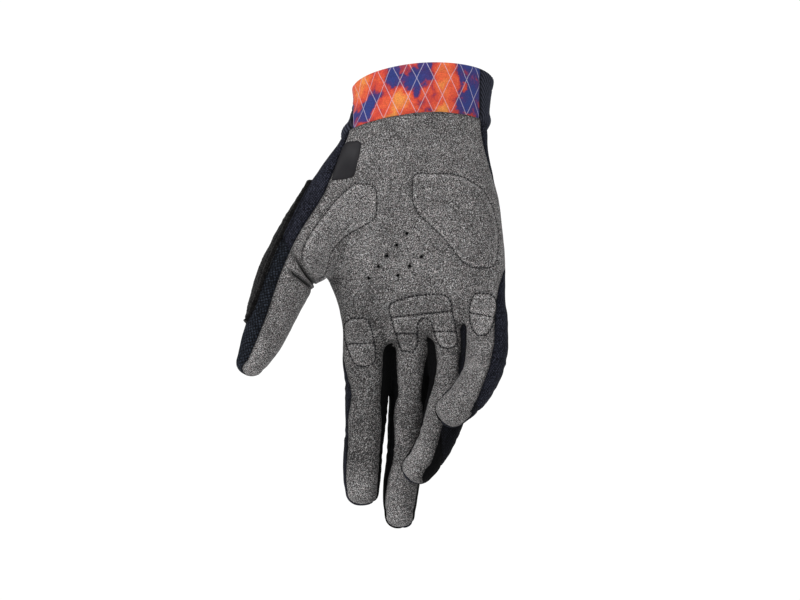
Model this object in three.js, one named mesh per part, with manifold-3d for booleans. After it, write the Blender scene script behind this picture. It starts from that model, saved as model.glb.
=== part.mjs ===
// A right-hand full-finger cycling glove, kept in the form that a relaxed hand gives it.
// Millimetres. The origin is the centre of the cuff's opening, +Z runs up the forearm, the palm faces -Y, the
// thumb is on the -X side, and the fingers hang down.
import * as THREE from "three";
import Module from "manifold-3d";

const wasm = await Module();
wasm.setup();

const WALL = 1.5; // cloth and its lining
const SEAM_GAP = 0.3; // left between neighbouring pieces
const HALF_GAP = SEAM_GAP / 2;
const CUFF_HEIGHT = 21; // along the wrist, from the rim to the palm's seam
const CUFF_PITCH = THREE.MathUtils.degToRad(24); // the rim dips towards the back of the hand
const CUFF_ROLL = THREE.MathUtils.degToRad(-3);
const FAR = 60; // how far a cutter reaches past the glove

// The hand's body, a row for each level: centre x and y, half width, depths of the palm side and the back side,
// how far the palm dips in its middle, the slope of the level towards the little finger, and the exponent of its
// oval, where 2 is an ellipse and more is squarer.
const BODY = [
  { z: 16, x: 0, y: -4, half: 35.5, palm: 20, back: 20, hollow: 0, slope: 0, square: 1.9 },
  { z: 0, x: 0, y: 0, half: 35.9, palm: 20, back: 20, hollow: 0, slope: 0, square: 1.9 },
  { z: -10, x: -0.4, y: 2.5, half: 35, palm: 19.5, back: 19.5, hollow: 0, slope: 0, square: 1.95 },
  { z: -19, x: -1.5, y: 5, half: 35.5, palm: 19, back: 19, hollow: 0, slope: 0, square: 2.05 },
  { z: -26, x: -3.5, y: 6.5, half: 37, palm: 19, back: 18.5, hollow: 0, slope: 0, square: 2.1 },
  { z: -36, x: -5.5, y: 8, half: 39, palm: 19.5, back: 18, hollow: 0.5, slope: 0, square: 2.2 },
  { z: -48.5, x: -7, y: 9, half: 43, palm: 20, back: 17, hollow: 1.5, slope: 0, square: 2.3 },
  { z: -61, x: -7.5, y: 9.5, half: 46.5, palm: 20.5, back: 16.5, hollow: 3, slope: 0, square: 2.4 },
  { z: -74, x: -8, y: 9.5, half: 48.7, palm: 20, back: 16, hollow: 4, slope: 0, square: 2.4 },
  { z: -87, x: -7, y: 9, half: 49, palm: 18.5, back: 15.5, hollow: 3.5, slope: 0.02, square: 2.4 },
  { z: -98, x: -3.4, y: 8.5, half: 46, palm: 17, back: 15, hollow: 2, slope: 0.06, square: 2.4 },
  { z: -105, x: -1.3, y: 8.2, half: 44, palm: 16, back: 14.5, hollow: 1.5, slope: 0.1, square: 2.4 },
  { z: -114, x: 0.3, y: 7.8, half: 42.6, palm: 14.7, back: 13.6, hollow: 0.8, slope: 0.18, square: 2.4 },
  { z: -127, x: 1, y: 7.5, half: 41.3, palm: 11.5, back: 11.5, hollow: 0, slope: 0.27, square: 2.4 },
];
const BODY_END = 4; // how far the rounded lower edge, the webs between the fingers, runs on
const HOLLOW_AT = 2; // x of the middle of the palm's dip
const HOLLOW_SPREAD = 17;

// The digits, a row for each station from inside the hand to the base of the tip: centre, half width, half depth,
// turn of the pad's side away from the palm's own side in degrees, the two seams of the grey strip measured
// sideways from the centre, and how far the strip wraps back past the digit's middle. tip is the length of the
// rounded end, and cover is the share of it that the strip reaches over.
const DIGITS = {
  index: {
    tip: 7,
    cover: 0.75,
    rows: [
      { x: -29, y: 6.5, z: -112, half: 10.5, deep: 11, turn: 0, left: -11, right: 9, wrap: 0 },
      { x: -28.6, y: 5, z: -138.5, half: 11.2, deep: 10.6, turn: 0, left: -10.8, right: 8.6, wrap: 0 },
      { x: -28.4, y: 4, z: -153.5, half: 11.2, deep: 10.3, turn: 0, left: -10, right: 7.8, wrap: 0 },
      { x: -28.6, y: 3, z: -163, half: 10.9, deep: 10, turn: 0, left: -8.2, right: 7.3, wrap: 0 },
      { x: -29.4, y: 1.5, z: -176.5, half: 10.2, deep: 9.6, turn: 0, left: -9.3, right: 8.4, wrap: 0 },
      { x: -30.4, y: -0.5, z: -189.5, half: 9.8, deep: 9.3, turn: 0, left: -7.9, right: 8.6, wrap: 0 },
      { x: -31, y: -3.5, z: -204, half: 9.5, deep: 9, turn: 0, left: -8.4, right: 8.4, wrap: 0 },
      { x: -31, y: -5, z: -211, half: 8.6, deep: 8.4, turn: 0, left: -8, right: 8, wrap: 0 },
    ],
  },
  middle: {
    tip: 8,
    cover: 0.75,
    rows: [
      { x: -6.5, y: 9.5, z: -112, half: 10, deep: 11, turn: 0, left: -8, right: 8.5, wrap: 0 },
      { x: -6.3, y: 11, z: -138.5, half: 10.7, deep: 10.8, turn: 0, left: -7.5, right: 8.3, wrap: 0 },
      { x: -6.4, y: 10.8, z: -153.5, half: 10.6, deep: 10.4, turn: 0, left: -6.7, right: 6.7, wrap: 0 },
      { x: -6.6, y: 10.2, z: -161.5, half: 10.3, deep: 10, turn: 0, left: -6, right: 6, wrap: 0 },
      { x: -7.4, y: 9, z: -171.5, half: 9.8, deep: 9.7, turn: 0, left: -7.6, right: 7.8, wrap: 0 },
      { x: -8.7, y: 6.8, z: -186.5, half: 9.4, deep: 9.4, turn: 0, left: -6, right: 7.5, wrap: 0 },
      { x: -9.7, y: 4.6, z: -197, half: 9.2, deep: 9.2, turn: 0, left: -6, right: 8, wrap: 0 },
      { x: -11, y: 2, z: -207, half: 9.2, deep: 9, turn: 0, left: -7.3, right: 8.6, wrap: 0 },
      { x: -11.7, y: -0.5, z: -217, half: 8.4, deep: 8.5, turn: 0, left: -8, right: 8, wrap: 0 },
      { x: -11.8, y: -1.7, z: -221.5, half: 7.6, deep: 7.8, turn: 0, left: -7.2, right: 7.2, wrap: 0 },
    ],
  },
  ring: {
    tip: 8,
    cover: 0.93,
    rows: [
      { x: 10.5, y: 8, z: -112, half: 10, deep: 11, turn: 0, left: -7, right: 7.5, wrap: 0 },
      { x: 13.1, y: 6, z: -138.5, half: 9.8, deep: 10.5, turn: 0, left: -6.6, right: 7.1, wrap: 0 },
      { x: 13.9, y: 3, z: -148.5, half: 9.8, deep: 10, turn: -4, left: -6.3, right: 6, wrap: 0 },
      { x: 12.9, y: -2, z: -160, half: 9.9, deep: 9.8, turn: -14, left: -6.2, right: 6.2, wrap: 0 },
      { x: 10, y: -7, z: -171.5, half: 10, deep: 9.6, turn: -27, left: -6.2, right: 6.4, wrap: 0 },
      { x: 7.2, y: -12, z: -184.5, half: 9.8, deep: 9.4, turn: -36, left: -6.5, right: 6.5, wrap: 0 },
      { x: 1.8, y: -17, z: -194, half: 9.2, deep: 9, turn: -31, left: -6.8, right: 6.8, wrap: 1.5 },
      { x: -2.1, y: -19.5, z: -198, half: 8.4, deep: 8.4, turn: -28, left: -7, right: 7, wrap: 3.5 },
    ],
  },
  little: {
    tip: 8,
    cover: 0.93,
    rows: [
      { x: 30.4, y: 7, z: -103, half: 11, deep: 10.5, turn: -5, left: -9.5, right: 8, wrap: 0 },
      { x: 32, y: 4, z: -118.5, half: 11.2, deep: 10.4, turn: -12, left: -8.8, right: 7.6, wrap: 0 },
      { x: 32.6, y: 1.5, z: -128, half: 11.1, deep: 10.2, turn: -20, left: -7.9, right: 7.9, wrap: 0 },
      { x: 32.8, y: -2.5, z: -138.5, half: 10.8, deep: 10, turn: -27, left: -8.1, right: 8.1, wrap: 0 },
      { x: 30.8, y: -8.5, z: -149.5, half: 10, deep: 9.7, turn: -36, left: -8.2, right: 8.2, wrap: 0 },
      { x: 24.2, y: -17, z: -160.5, half: 9.3, deep: 9.2, turn: -37, left: -8, right: 8, wrap: 2 },
      { x: 17.6, y: -24, z: -168, half: 8.7, deep: 8.7, turn: -36, left: -7.6, right: 7.6, wrap: 4 },
    ],
  },
  thumb: {
    tip: 6,
    cover: 0.75,
    rows: [
      { x: -25, y: 9, z: -24, half: 8.5, deep: 9, turn: 46, left: -8, right: 8, wrap: 0 },
      { x: -36, y: 6, z: -43, half: 12.7, deep: 12.5, turn: 46, left: -12, right: 12, wrap: 0 },
      { x: -48.6, y: 1, z: -64, half: 14.6, deep: 13.5, turn: 46, left: -13.9, right: 13, wrap: 0 },
      { x: -61.4, y: -4, z: -84.5, half: 14.2, deep: 13.2, turn: 46, left: -13.4, right: 12.6, wrap: 0 },
      { x: -70.7, y: -7.5, z: -102, half: 13.2, deep: 12.5, turn: 46, left: -12.2, right: 12, wrap: 0 },
      { x: -75, y: -9.5, z: -113.5, half: 12.6, deep: 12, turn: 46, left: -11.6, right: 11.5, wrap: 0 },
      { x: -78.8, y: -11, z: -125, half: 11.5, deep: 11.2, turn: 46, left: -10.8, right: 10.4, wrap: 0 },
      { x: -83.2, y: -12.5, z: -135, half: 10, deep: 10, turn: 46, left: -9.5, right: 9.1, wrap: 0 },
      { x: -86.5, y: -13.5, z: -142, half: 8.3, deep: 8.7, turn: 46, left: -7.8, right: 7.5, wrap: 0 },
      { x: -88.3, y: -14, z: -145.3, half: 7.2, deep: 7.6, turn: 46, left: -6.6, right: 6.6, wrap: 0 },
    ],
  },
};

// The ball of the thumb, which fills the fold between the palm and the thumb, in the same columns.
const THUMB_BALL = {
  tip: 4,
  rows: [
    { x: -26, y: 7, z: -44, half: 10, deep: 11, turn: 25 },
    { x: -38, y: 3, z: -66, half: 14, deep: 12, turn: 30 },
    { x: -49.5, y: -0.5, z: -84, half: 11.5, deep: 10.5, turn: 35 },
    { x: -54, y: -1.5, z: -92, half: 8, deep: 8.5, turn: 40 },
  ],
};

// The palm's edges, a row for each level from the wrist to the webs: the cut's left and right sides, and its slope
// towards the little finger. Where an edge lies past the hand's outline the cloth wraps round to the side.
const PALM_EDGES = [
  { z: 10, left: -40, right: 30, slope: 0 },
  { z: -20, left: -38, right: 30, slope: 0 },
  { z: -26, left: -37.8, right: 30.5, slope: 0 },
  { z: -36, left: -41.5, right: 32.5, slope: 0 },
  { z: -46, left: -45.5, right: 35, slope: 0 },
  { z: -52, left: -48, right: 36.5, slope: 0 },
  { z: -61, left: -50, right: 42, slope: 0 },
  { z: -74, left: -52, right: 48, slope: 0 },
  { z: -90, left: -54, right: 48, slope: 0 },
  { z: -102, left: -56, right: 42, slope: 0.08 },
  { z: -115, left: -56, right: 39.5, slope: 0.17 },
  { z: -130, left: -52, right: 37.5, slope: 0.27 },
];

// The seam that closes the thumb: a point on it, and the way that leads across it to the thumb's tip.
const THUMB_SEAM = { x: -61.4, z: -96.1, aheadX: -0.82, aheadZ: -0.58 };

// The cuff's printed band ends where the ribbed band begins.
const PRINT_RIGHT = 29.5; // x of the seam on the little finger's side
const PRINT_BACK = 4; // y of the seam on the thumb's side

// The padded patches, a row for each rib across them: the two ends of the rib. height is how far the middle stands
// out, edge is how wide the slope of the rim is, and steps and across are how finely it is modelled.
const PATCHES = {
  thenar_pad: {
    height: 2.4,
    edge: 3,
    steps: 8,
    across: 5,
    ribs: [
      { leftX: -34.5, leftZ: -52.8, rightX: -27, rightZ: -53.2 },
      { leftX: -39.2, leftZ: -56.3, rightX: -23.8, rightZ: -56.6 },
      { leftX: -45.1, leftZ: -62.1, rightX: -23.4, rightZ: -63.3 },
      { leftX: -50.3, leftZ: -68.6, rightX: -24.5, rightZ: -70.4 },
      { leftX: -54.9, leftZ: -74.8, rightX: -31, rightZ: -75 },
      { leftX: -58.2, leftZ: -80.3, rightX: -38.8, rightZ: -79.4 },
      { leftX: -60.3, leftZ: -86.9, rightX: -44.3, rightZ: -85.2 },
      { leftX: -60, leftZ: -91.5, rightX: -47.9, rightZ: -90.4 },
      { leftX: -58.1, leftZ: -95, rightX: -49.8, rightZ: -94.6 },
      { leftX: -55.8, leftZ: -97, rightX: -52.4, rightZ: -97 },
    ],
  },
  hypothenar_pad: {
    height: 2.6,
    edge: 3.5,
    steps: 8,
    across: 6,
    ribs: [
      { leftX: -2.6, leftZ: -47.4, rightX: 14, rightZ: -47.6 },
      { leftX: -4.7, leftZ: -49.4, rightX: 22, rightZ: -50 },
      { leftX: -5.3, leftZ: -54.5, rightX: 30.3, rightZ: -55.3 },
      { leftX: -5.2, leftZ: -61.6, rightX: 35.1, rightZ: -62.7 },
      { leftX: -2.6, leftZ: -67.9, rightX: 37.2, rightZ: -69 },
      { leftX: 3.8, leftZ: -74, rightX: 38.9, rightZ: -76.1 },
      { leftX: 10.3, leftZ: -80.4, rightX: 39.2, rightZ: -82.5 },
      { leftX: 16, leftZ: -87.4, rightX: 38.6, rightZ: -89.4 },
      { leftX: 20.7, leftZ: -93, rightX: 37.2, rightZ: -94.4 },
      { leftX: 25.8, leftZ: -95.9, rightX: 34.2, rightZ: -96.1 },
    ],
  },
  index_pad: {
    height: 2.2,
    edge: 2.5,
    steps: 6,
    across: 4,
    ribs: [
      { leftX: -36.6, leftZ: -121.9, rightX: -29.6, rightZ: -121.9 },
      { leftX: -39.9, leftZ: -124.6, rightX: -27.1, rightZ: -124.8 },
      { leftX: -40.3, leftZ: -129.4, rightX: -25.6, rightZ: -130.2 },
      { leftX: -39.3, leftZ: -135.2, rightX: -24.4, rightZ: -136 },
      { leftX: -37.3, leftZ: -140.6, rightX: -24, rightZ: -141 },
      { leftX: -35.1, leftZ: -145, rightX: -25.2, rightZ: -145.2 },
      { leftX: -32.9, leftZ: -146.6, rightX: -29.2, rightZ: -146.8 },
    ],
  },
  finger_pad: {
    height: 2.2,
    edge: 2.5,
    steps: 13,
    across: 4,
    ribs: [
      { leftX: -10.8, leftZ: -138.5, rightX: -5.1, rightZ: -139.6 },
      { leftX: -12.3, leftZ: -134.7, rightX: -2.7, rightZ: -135.2 },
      { leftX: -13.7, leftZ: -130.6, rightX: -2.7, rightZ: -130.6 },
      { leftX: -15.7, leftZ: -123.5, rightX: -2.4, rightZ: -124.9 },
      { leftX: -17.2, leftZ: -116.7, rightX: -1.5, rightZ: -123.1 },
      { leftX: -14.5, leftZ: -113.5, rightX: -0.9, rightZ: -122.6 },
      { leftX: -6.2, leftZ: -110.8, rightX: 0.3, rightZ: -122.1 },
      { leftX: 3.9, leftZ: -109.6, rightX: 2.3, rightZ: -122.2 },
      { leftX: 11.1, leftZ: -109.9, rightX: 3.6, rightZ: -123.1 },
      { leftX: 14.3, leftZ: -113.3, rightX: 4.5, rightZ: -124.6 },
      { leftX: 15.9, leftZ: -121.3, rightX: 5.2, rightZ: -126.4 },
      { leftX: 17.7, leftZ: -130.6, rightX: 6.7, rightZ: -131.8 },
      { leftX: 17.9, leftZ: -134.7, rightX: 8.5, rightZ: -135.4 },
      { leftX: 15.7, leftZ: -137.3, rightX: 11.3, rightZ: -137.6 },
    ],
  },
  little_pad: {
    height: 2.2,
    edge: 2.5,
    steps: 5,
    across: 4,
    ribs: [
      { leftX: 27.2, leftZ: -109.2, rightX: 34.2, rightZ: -109.2 },
      { leftX: 25.2, leftZ: -112.2, rightX: 37.2, rightZ: -111.8 },
      { leftX: 24.2, leftZ: -117, rightX: 38, rightZ: -116.2 },
      { leftX: 24.4, leftZ: -122.8, rightX: 36.8, rightZ: -122 },
      { leftX: 25.8, leftZ: -127.8, rightX: 35.2, rightZ: -127.5 },
      { leftX: 28.4, leftZ: -130.8, rightX: 32.4, rightZ: -130.8 },
    ],
  },
};

const HEEL_LABEL = {
  thick: 0.8,
  ribs: [
    { leftX: -38.6, leftZ: -31.4, rightX: -33.2, rightZ: -30.8 },
    { leftX: -40.8, leftZ: -34.5, rightX: -31.3, rightZ: -32.6 },
    { leftX: -42.6, leftZ: -39, rightX: -32.2, rightZ: -38.6 },
    { leftX: -45, leftZ: -45.5, rightX: -33.8, rightZ: -45 },
    { leftX: -46.2, leftZ: -49.5, rightX: -35.4, rightZ: -49 },
    { leftX: -46.7, leftZ: -51.4, rightX: -39, rightZ: -50.6 },
  ],
};

const PERFORATION = 1.3; // diameter
const PERFORATIONS = [
  { x: -8, z: -78.4 },
  { x: -13.2, z: -84.4 },
  { x: -18.2, z: -89.9 },
  { x: -22.7, z: -95.4 },
  { x: -27.6, z: -101.4 },
  { x: -0.5, z: -90.3 },
  { x: -6.6, z: -95 },
  { x: -12.7, z: -100 },
];

// The towelling strip on the thumb's outer side: its thickness, its ends as levels, and its edges as angles round
// the thumb from the middle of the thumb's grey front.
const WIPE = { thick: 1.5, top: -63, bottom: -128.5, near: -101, far: -196 };

// How finely the outside and the lining's side are modelled.
const FINE = { bodySides: 26, levels: 10, digitSides: 12, stations: 7, tips: 2 };
const COARSE = { bodySides: 18, levels: 7, digitSides: 8, stations: 5, tips: 2 };
const CUTTER_STATIONS = 5;

// A smooth reading of a table: every named column at any place along its rows, from 0 to 1.
function along(rows) {
  const columns = Object.keys(rows[0]);
  const places = new Float32Array(rows.map((row, i) => i / (rows.length - 1)));
  const values = new Float32Array(rows.flatMap((row) => columns.map((c) => row[c])));
  const cubic = new THREE.CubicInterpolant(places, values, columns.length);
  return (t) => {
    const read = cubic.evaluate(t);
    return Object.fromEntries(columns.map((c, i) => [c, read[i]]));
  };
}

// The place along a table, from 0 to 1, where its z column reaches a level.
function placeAtLevel(rows, level) {
  const last = rows.length - 1;
  if (level < rows[last].z) return 1;
  const i = rows.findIndex((row, k) => k < last && rows[k + 1].z <= level);
  const share = (rows[i].z - level) / (rows[i].z - rows[i + 1].z);
  return (i + THREE.MathUtils.clamp(share, 0, 1)) / last;
}

function solidOf(points, faces) {
  const mesh = new wasm.Mesh({
    numProp: 3,
    vertProperties: new Float32Array(points.flatMap((p) => p.toArray())),
    triVerts: new Uint32Array(faces),
  });
  const made = new wasm.Manifold(mesh);
  if (made.volume() > 0) return made;
  return solidOf(points, faces.reverse());
}

function solidOfGeometry(geometry) {
  const flat = geometry.index ? geometry.toNonIndexed() : geometry;
  const position = flat.getAttribute("position");
  const points = [];
  const faces = [];
  const seen = new Map();
  for (let i = 0; i < position.count; i++) {
    const p = new THREE.Vector3().fromBufferAttribute(position, i);
    const key = p.toArray().map((v) => v.toFixed(4)).join();
    if (!seen.has(key)) {
      seen.set(key, points.length);
      points.push(p);
    }
    faces.push(seen.get(key));
  }
  return solidOf(points, faces);
}

// A closed solid through rings that all have the same number of points.
function loft(rings) {
  const n = rings[0].length;
  const points = rings.flat();
  const faces = [];
  for (let k = 0; k + 1 < rings.length; k++) {
    for (let i = 0; i < n; i++) {
      const a = k * n + i;
      const b = k * n + ((i + 1) % n);
      faces.push(a, b, a + n, b, b + n, a + n);
    }
  }
  for (const [ring, first, turn] of [
    [rings[0], 0, 1],
    [rings.at(-1), points.length - n, 0],
  ]) {
    const middle = ring.reduce((sum, p) => sum.add(p), new THREE.Vector3()).divideScalar(n);
    points.push(middle);
    for (let i = 0; i < n; i++) {
      const pair = [first + i, first + ((i + 1) % n)];
      if (turn) pair.reverse();
      faces.push(...pair, points.length - 1);
    }
  }
  return solidOf(points, faces);
}

const joined = (solids) => solids.reduce((sum, s) => sum.add(s));

const readBody = along(BODY);
const power = (v, exponent) => Math.sign(v) * Math.abs(v) ** exponent;

// One level of the hand's body, grown by a distance.
function bodyRing(row, sides, grow, shrink = 0) {
  const ring = [];
  for (let i = 0; i < sides; i++) {
    const angle = (i / sides) * 2 * Math.PI;
    const side = power(Math.sin(angle), 2 / row.square);
    const front = power(Math.cos(angle), 2 / row.square);
    const depth = front > 0 ? row.palm : row.back;
    const x = row.x + side * (row.half + grow - shrink);
    const dip = row.hollow * Math.exp(-(((x - HOLLOW_AT) / HOLLOW_SPREAD) ** 2)) * Math.max(front, 0);
    const y = row.y - front * (depth + grow - shrink) + dip;
    ring.push(new THREE.Vector3(x, y, row.z + row.slope * (x - row.x)));
  }
  return ring;
}

function bodySolid(grow, detail) {
  const rings = [];
  const { bodySides, levels, tips } = detail;
  for (let k = 0; k <= levels; k++) rings.push(bodyRing(readBody(k / levels), bodySides, grow));
  const end = readBody(1);
  for (let k = 1; k <= tips; k++) {
    const angle = (k / tips) * (Math.PI / 2);
    const z = end.z - (BODY_END + grow) * Math.sin(angle);
    rings.push(bodyRing({ ...end, z }, bodySides, grow, (1 - Math.cos(angle)) * (end.palm - 3)));
  }
  return loft(rings);
}

// The frame of a digit at a place along it: ahead runs to the tip, front out of the pad, side across it.
function digitFrame(read, t) {
  const row = read(t);
  const step = 0.01;
  const before = read(Math.max(t - step, 0));
  const after = read(Math.min(t + step, 1));
  const ahead = new THREE.Vector3(after.x - before.x, after.y - before.y, after.z - before.z).normalize();
  const turn = THREE.MathUtils.degToRad(row.turn);
  const front = new THREE.Vector3(Math.sin(turn), -Math.cos(turn), 0);
  front.addScaledVector(ahead, -front.dot(ahead)).normalize();
  const side = new THREE.Vector3().crossVectors(front, ahead);
  return { row, ahead, front, side, centre: new THREE.Vector3(row.x, row.y, row.z) };
}

function at(f, sideways, forward, onward = 0) {
  const p = f.centre.clone().addScaledVector(f.side, sideways);
  return p.addScaledVector(f.front, forward).addScaledVector(f.ahead, onward);
}

// A point on a digit's skin, at an angle round it from the middle of its front.
function skin(f, angle, grow, scale = 1, onward = 0) {
  const sideways = Math.sin(angle) * (f.row.half + grow) * scale;
  const forward = Math.cos(angle) * (f.row.deep + grow) * scale;
  return at(f, sideways, forward, onward);
}

function digitSolid(digit, grow, detail) {
  const read = along(digit.rows);
  const { digitSides, stations, tips } = detail;
  const ring = (f, scale, onward) =>
    Array.from({ length: digitSides }, (_, i) => skin(f, (i / digitSides) * 2 * Math.PI, grow, scale, onward));
  const rings = [];
  for (let k = 0; k <= stations; k++) rings.push(ring(digitFrame(read, k / stations), 1, 0));
  const end = digitFrame(read, 1);
  for (let k = 1; k <= tips; k++) {
    const angle = (k / (tips + 0.4)) * (Math.PI / 2);
    rings.push(ring(end, Math.cos(angle), (digit.tip + grow) * Math.sin(angle)));
  }
  return loft(rings);
}

function grown(grow, detail) {
  const digits = [...Object.values(DIGITS), THUMB_BALL].map((digit) => digitSolid(digit, grow, detail));
  return joined([bodySolid(grow, detail), ...digits]);
}

// A four-sided cutter that follows a digit between two places, starts a little earlier than the first and goes on
// past the last. sides and depths give its edges at a row.
function digitCutter(digit, from, to, sides, depths, onward = 0, early = 0) {
  const read = along(digit.rows);
  const rings = [];
  const section = (f, ahead) => {
    const [left, right] = sides(f.row);
    const [back, front] = depths(f.row);
    const corners = [[left, back], [right, back], [right, front], [left, front]];
    return corners.map(([sideways, forward]) => at(f, sideways, forward, ahead));
  };
  for (let k = 0; k <= CUTTER_STATIONS; k++) {
    rings.push(section(digitFrame(read, from + ((to - from) * k) / CUTTER_STATIONS), k === 0 ? -early : 0));
  }
  if (onward > 0) rings.push(section(digitFrame(read, to), onward));
  return loft(rings);
}

// The zone between two planes that lie as the cuff's rim does, measured along the wrist from the rim.
function cuffZone(low, high) {
  const box = new THREE.BoxGeometry(4 * FAR, 4 * FAR, high - low);
  box.translate(0, 0, (high + low) / 2);
  box.applyMatrix4(new THREE.Matrix4().makeRotationFromEuler(new THREE.Euler(-CUFF_PITCH, CUFF_ROLL, 0)));
  return solidOfGeometry(box);
}

// The strip of a finger's front that belongs to the palm, or of the thumb's front to the thumb's grey panel.
function stripCutter(digit, grow, to = 1) {
  const onward = to < 1 ? 0 : digit.tip * digit.cover + grow;
  const sides = (row) => [row.left - grow, row.right + grow];
  const depths = (row) => [-row.wrap - grow, row.deep + 1 + grow];
  return digitCutter(digit, 0, to, sides, depths, onward);
}

// The palm's cutter: the front of the hand's body between its edges, the fingers' strips and the thumb's base.
function palmCutter(grow) {
  const rings = PALM_EDGES.map(({ z, left, right, slope }, i) => {
    const middle = readBody(placeAtLevel(BODY, z)).y + grow;
    const end = i === PALM_EDGES.length - 1 ? grow : 0;
    const corners = [[left - grow, middle], [right + grow, middle], [right + grow, -FAR], [left - grow, -FAR]];
    return corners.map(([x, y]) => new THREE.Vector3(x, y, z - end + slope * x));
  });
  const { index, middle, ring, little, thumb } = DIGITS;
  const strips = [index, middle, ring, little].map((digit) => stripCutter(digit, grow));
  return joined([loft(rings), ...strips, stripCutter(thumb, grow, 0.5)]);
}

// Everything of the thumb past its seam.
function thumbZone(grow) {
  const reach = 22;
  const round = digitCutter(DIGITS.thumb, 0.1, 1, () => [-reach, reach], () => [-reach, reach], reach);
  const slab = new THREE.BoxGeometry(4 * FAR, 4 * FAR, 4 * FAR).translate(0, 0, -2 * FAR + grow);
  slab.rotateY(Math.atan2(THUMB_SEAM.aheadX, THUMB_SEAM.aheadZ) + Math.PI);
  slab.translate(THUMB_SEAM.x, 0, THUMB_SEAM.z);
  return round.intersect(solidOfGeometry(slab));
}

// The facing sides of two neighbouring fingers with the web between them.
function gussetCutter(one, other, grow) {
  const from = { index: 0.14, middle: 0.08, ring: 0.05, little: 0.3 };
  const depths = (row) => [-0.55 * row.deep - grow, row.deep + 1 + grow];
  const right = (row) => [0.35 * row.half - grow, row.half + 1 + grow];
  const left = (row) => [-row.half - 1 - grow, -0.35 * row.half + grow];
  const first = DIGITS[one];
  const second = DIGITS[other];
  const sides = [
    digitCutter(first, from[one], 1, right, depths, first.tip * 0.6 + grow, grow),
    digitCutter(second, from[other], 1, left, depths, second.tip * 0.6 + grow, grow),
  ];
  return joined(sides);
}

function largest(solid) {
  return solid.decompose().sort((a, b) => b.volume() - a.volume())[0];
}

const outer = grown(0, FINE);
const shell = outer.subtract(grown(-WALL, COARSE));
const cuff = shell.intersect(cuffZone(-CUFF_HEIGHT, 0));
const hand = shell.subtract(cuffZone(-CUFF_HEIGHT - SEAM_GAP, FAR));

function printCutter(grow) {
  const box = new THREE.BoxGeometry(2 * FAR, 2 * FAR, 2 * FAR);
  box.translate(PRINT_RIGHT - FAR + grow, PRINT_BACK - FAR + grow, 0);
  return solidOfGeometry(box);
}

const thumbPart = hand.intersect(thumbZone(-HALF_GAP));
const mainPart = hand.subtract(thumbZone(HALF_GAP));
const holes = joined(
  PERFORATIONS.map(({ x, z }) => {
    const hole = new THREE.CylinderGeometry(PERFORATION / 2, PERFORATION / 2, 20, 6);
    return solidOfGeometry(hole.translate(x, -12, z));
  }),
);
const palm = mainPart.intersect(palmCutter(-HALF_GAP)).subtract(holes);
const besidePalm = mainPart.subtract(palmCutter(HALF_GAP));
const pairs = [["index", "middle"], ["middle", "ring"], ["ring", "little"]];
const gussets = pairs.map(([one, other]) => besidePalm.intersect(gussetCutter(one, other, -HALF_GAP)));
const gussetRoom = joined(pairs.map(([one, other]) => gussetCutter(one, other, HALF_GAP)));
const back = besidePalm.subtract(gussetRoom);

// The outline of a patch as a closed ring of x and z, smooth through the ends of its ribs.
function outlineOf(ribs, steps = 24) {
  const read = along(ribs);
  const rightSide = [];
  const leftSide = [];
  for (let k = 0; k <= steps; k++) {
    const rib = read(k / steps);
    rightSide.push(new THREE.Vector2(rib.rightX, rib.rightZ));
    leftSide.unshift(new THREE.Vector2(rib.leftX, rib.leftZ));
  }
  return [...rightSide, ...leftSide];
}

// How far a place lies inside an outline: less than nothing outside it.
function depthInside(outline, place) {
  let nearest = Infinity;
  let inside = false;
  outline.forEach((a, i) => {
    const b = outline[(i + 1) % outline.length];
    const side = b.clone().sub(a);
    const share = THREE.MathUtils.clamp(place.clone().sub(a).dot(side) / Math.max(side.lengthSq(), 1e-9), 0, 1);
    nearest = Math.min(nearest, a.clone().addScaledVector(side, share).distanceTo(place));
    const crosses = a.y > place.y !== b.y > place.y;
    if (crosses && place.x < a.x + (side.x * (place.y - a.y)) / side.y) inside = !inside;
  });
  return inside ? nearest : -nearest;
}

function meshOf(solid) {
  const { vertProperties, triVerts, numProp } = solid.getMesh();
  const position = [];
  for (let i = 0; i < vertProperties.length; i += numProp) {
    position.push(vertProperties[i], vertProperties[i + 1], vertProperties[i + 2]);
  }
  const geometry = new THREE.BufferGeometry();
  geometry.setAttribute("position", new THREE.Float32BufferAttribute(position, 3));
  geometry.setIndex([...triVerts]);
  return new THREE.Mesh(geometry, new THREE.MeshStandardMaterial({ side: THREE.DoubleSide }));
}

const skinMesh = meshOf(outer);
const seat = grown(SEAM_GAP, FINE);

// The place on the glove's palm side straight in front of a place, and the way that the cloth faces round it.
function palmAt(x, z) {
  const hits = [[0, 0], [2, 0], [-2, 0], [0, 2], [0, -2]].map(([s, t]) => {
    const ray = new THREE.Raycaster(new THREE.Vector3(x + s, -3 * FAR, z + t), new THREE.Vector3(0, 1, 0));
    return ray.intersectObject(skinMesh)[0];
  });
  const faces = hits.filter(Boolean).reduce((sum, hit) => sum.add(hit.face.normal), new THREE.Vector3());
  return { point: hits.find(Boolean).point, outwards: faces.normalize() };
}

const RIM = 0.6; // thickness of a padded patch at its seam

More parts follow.
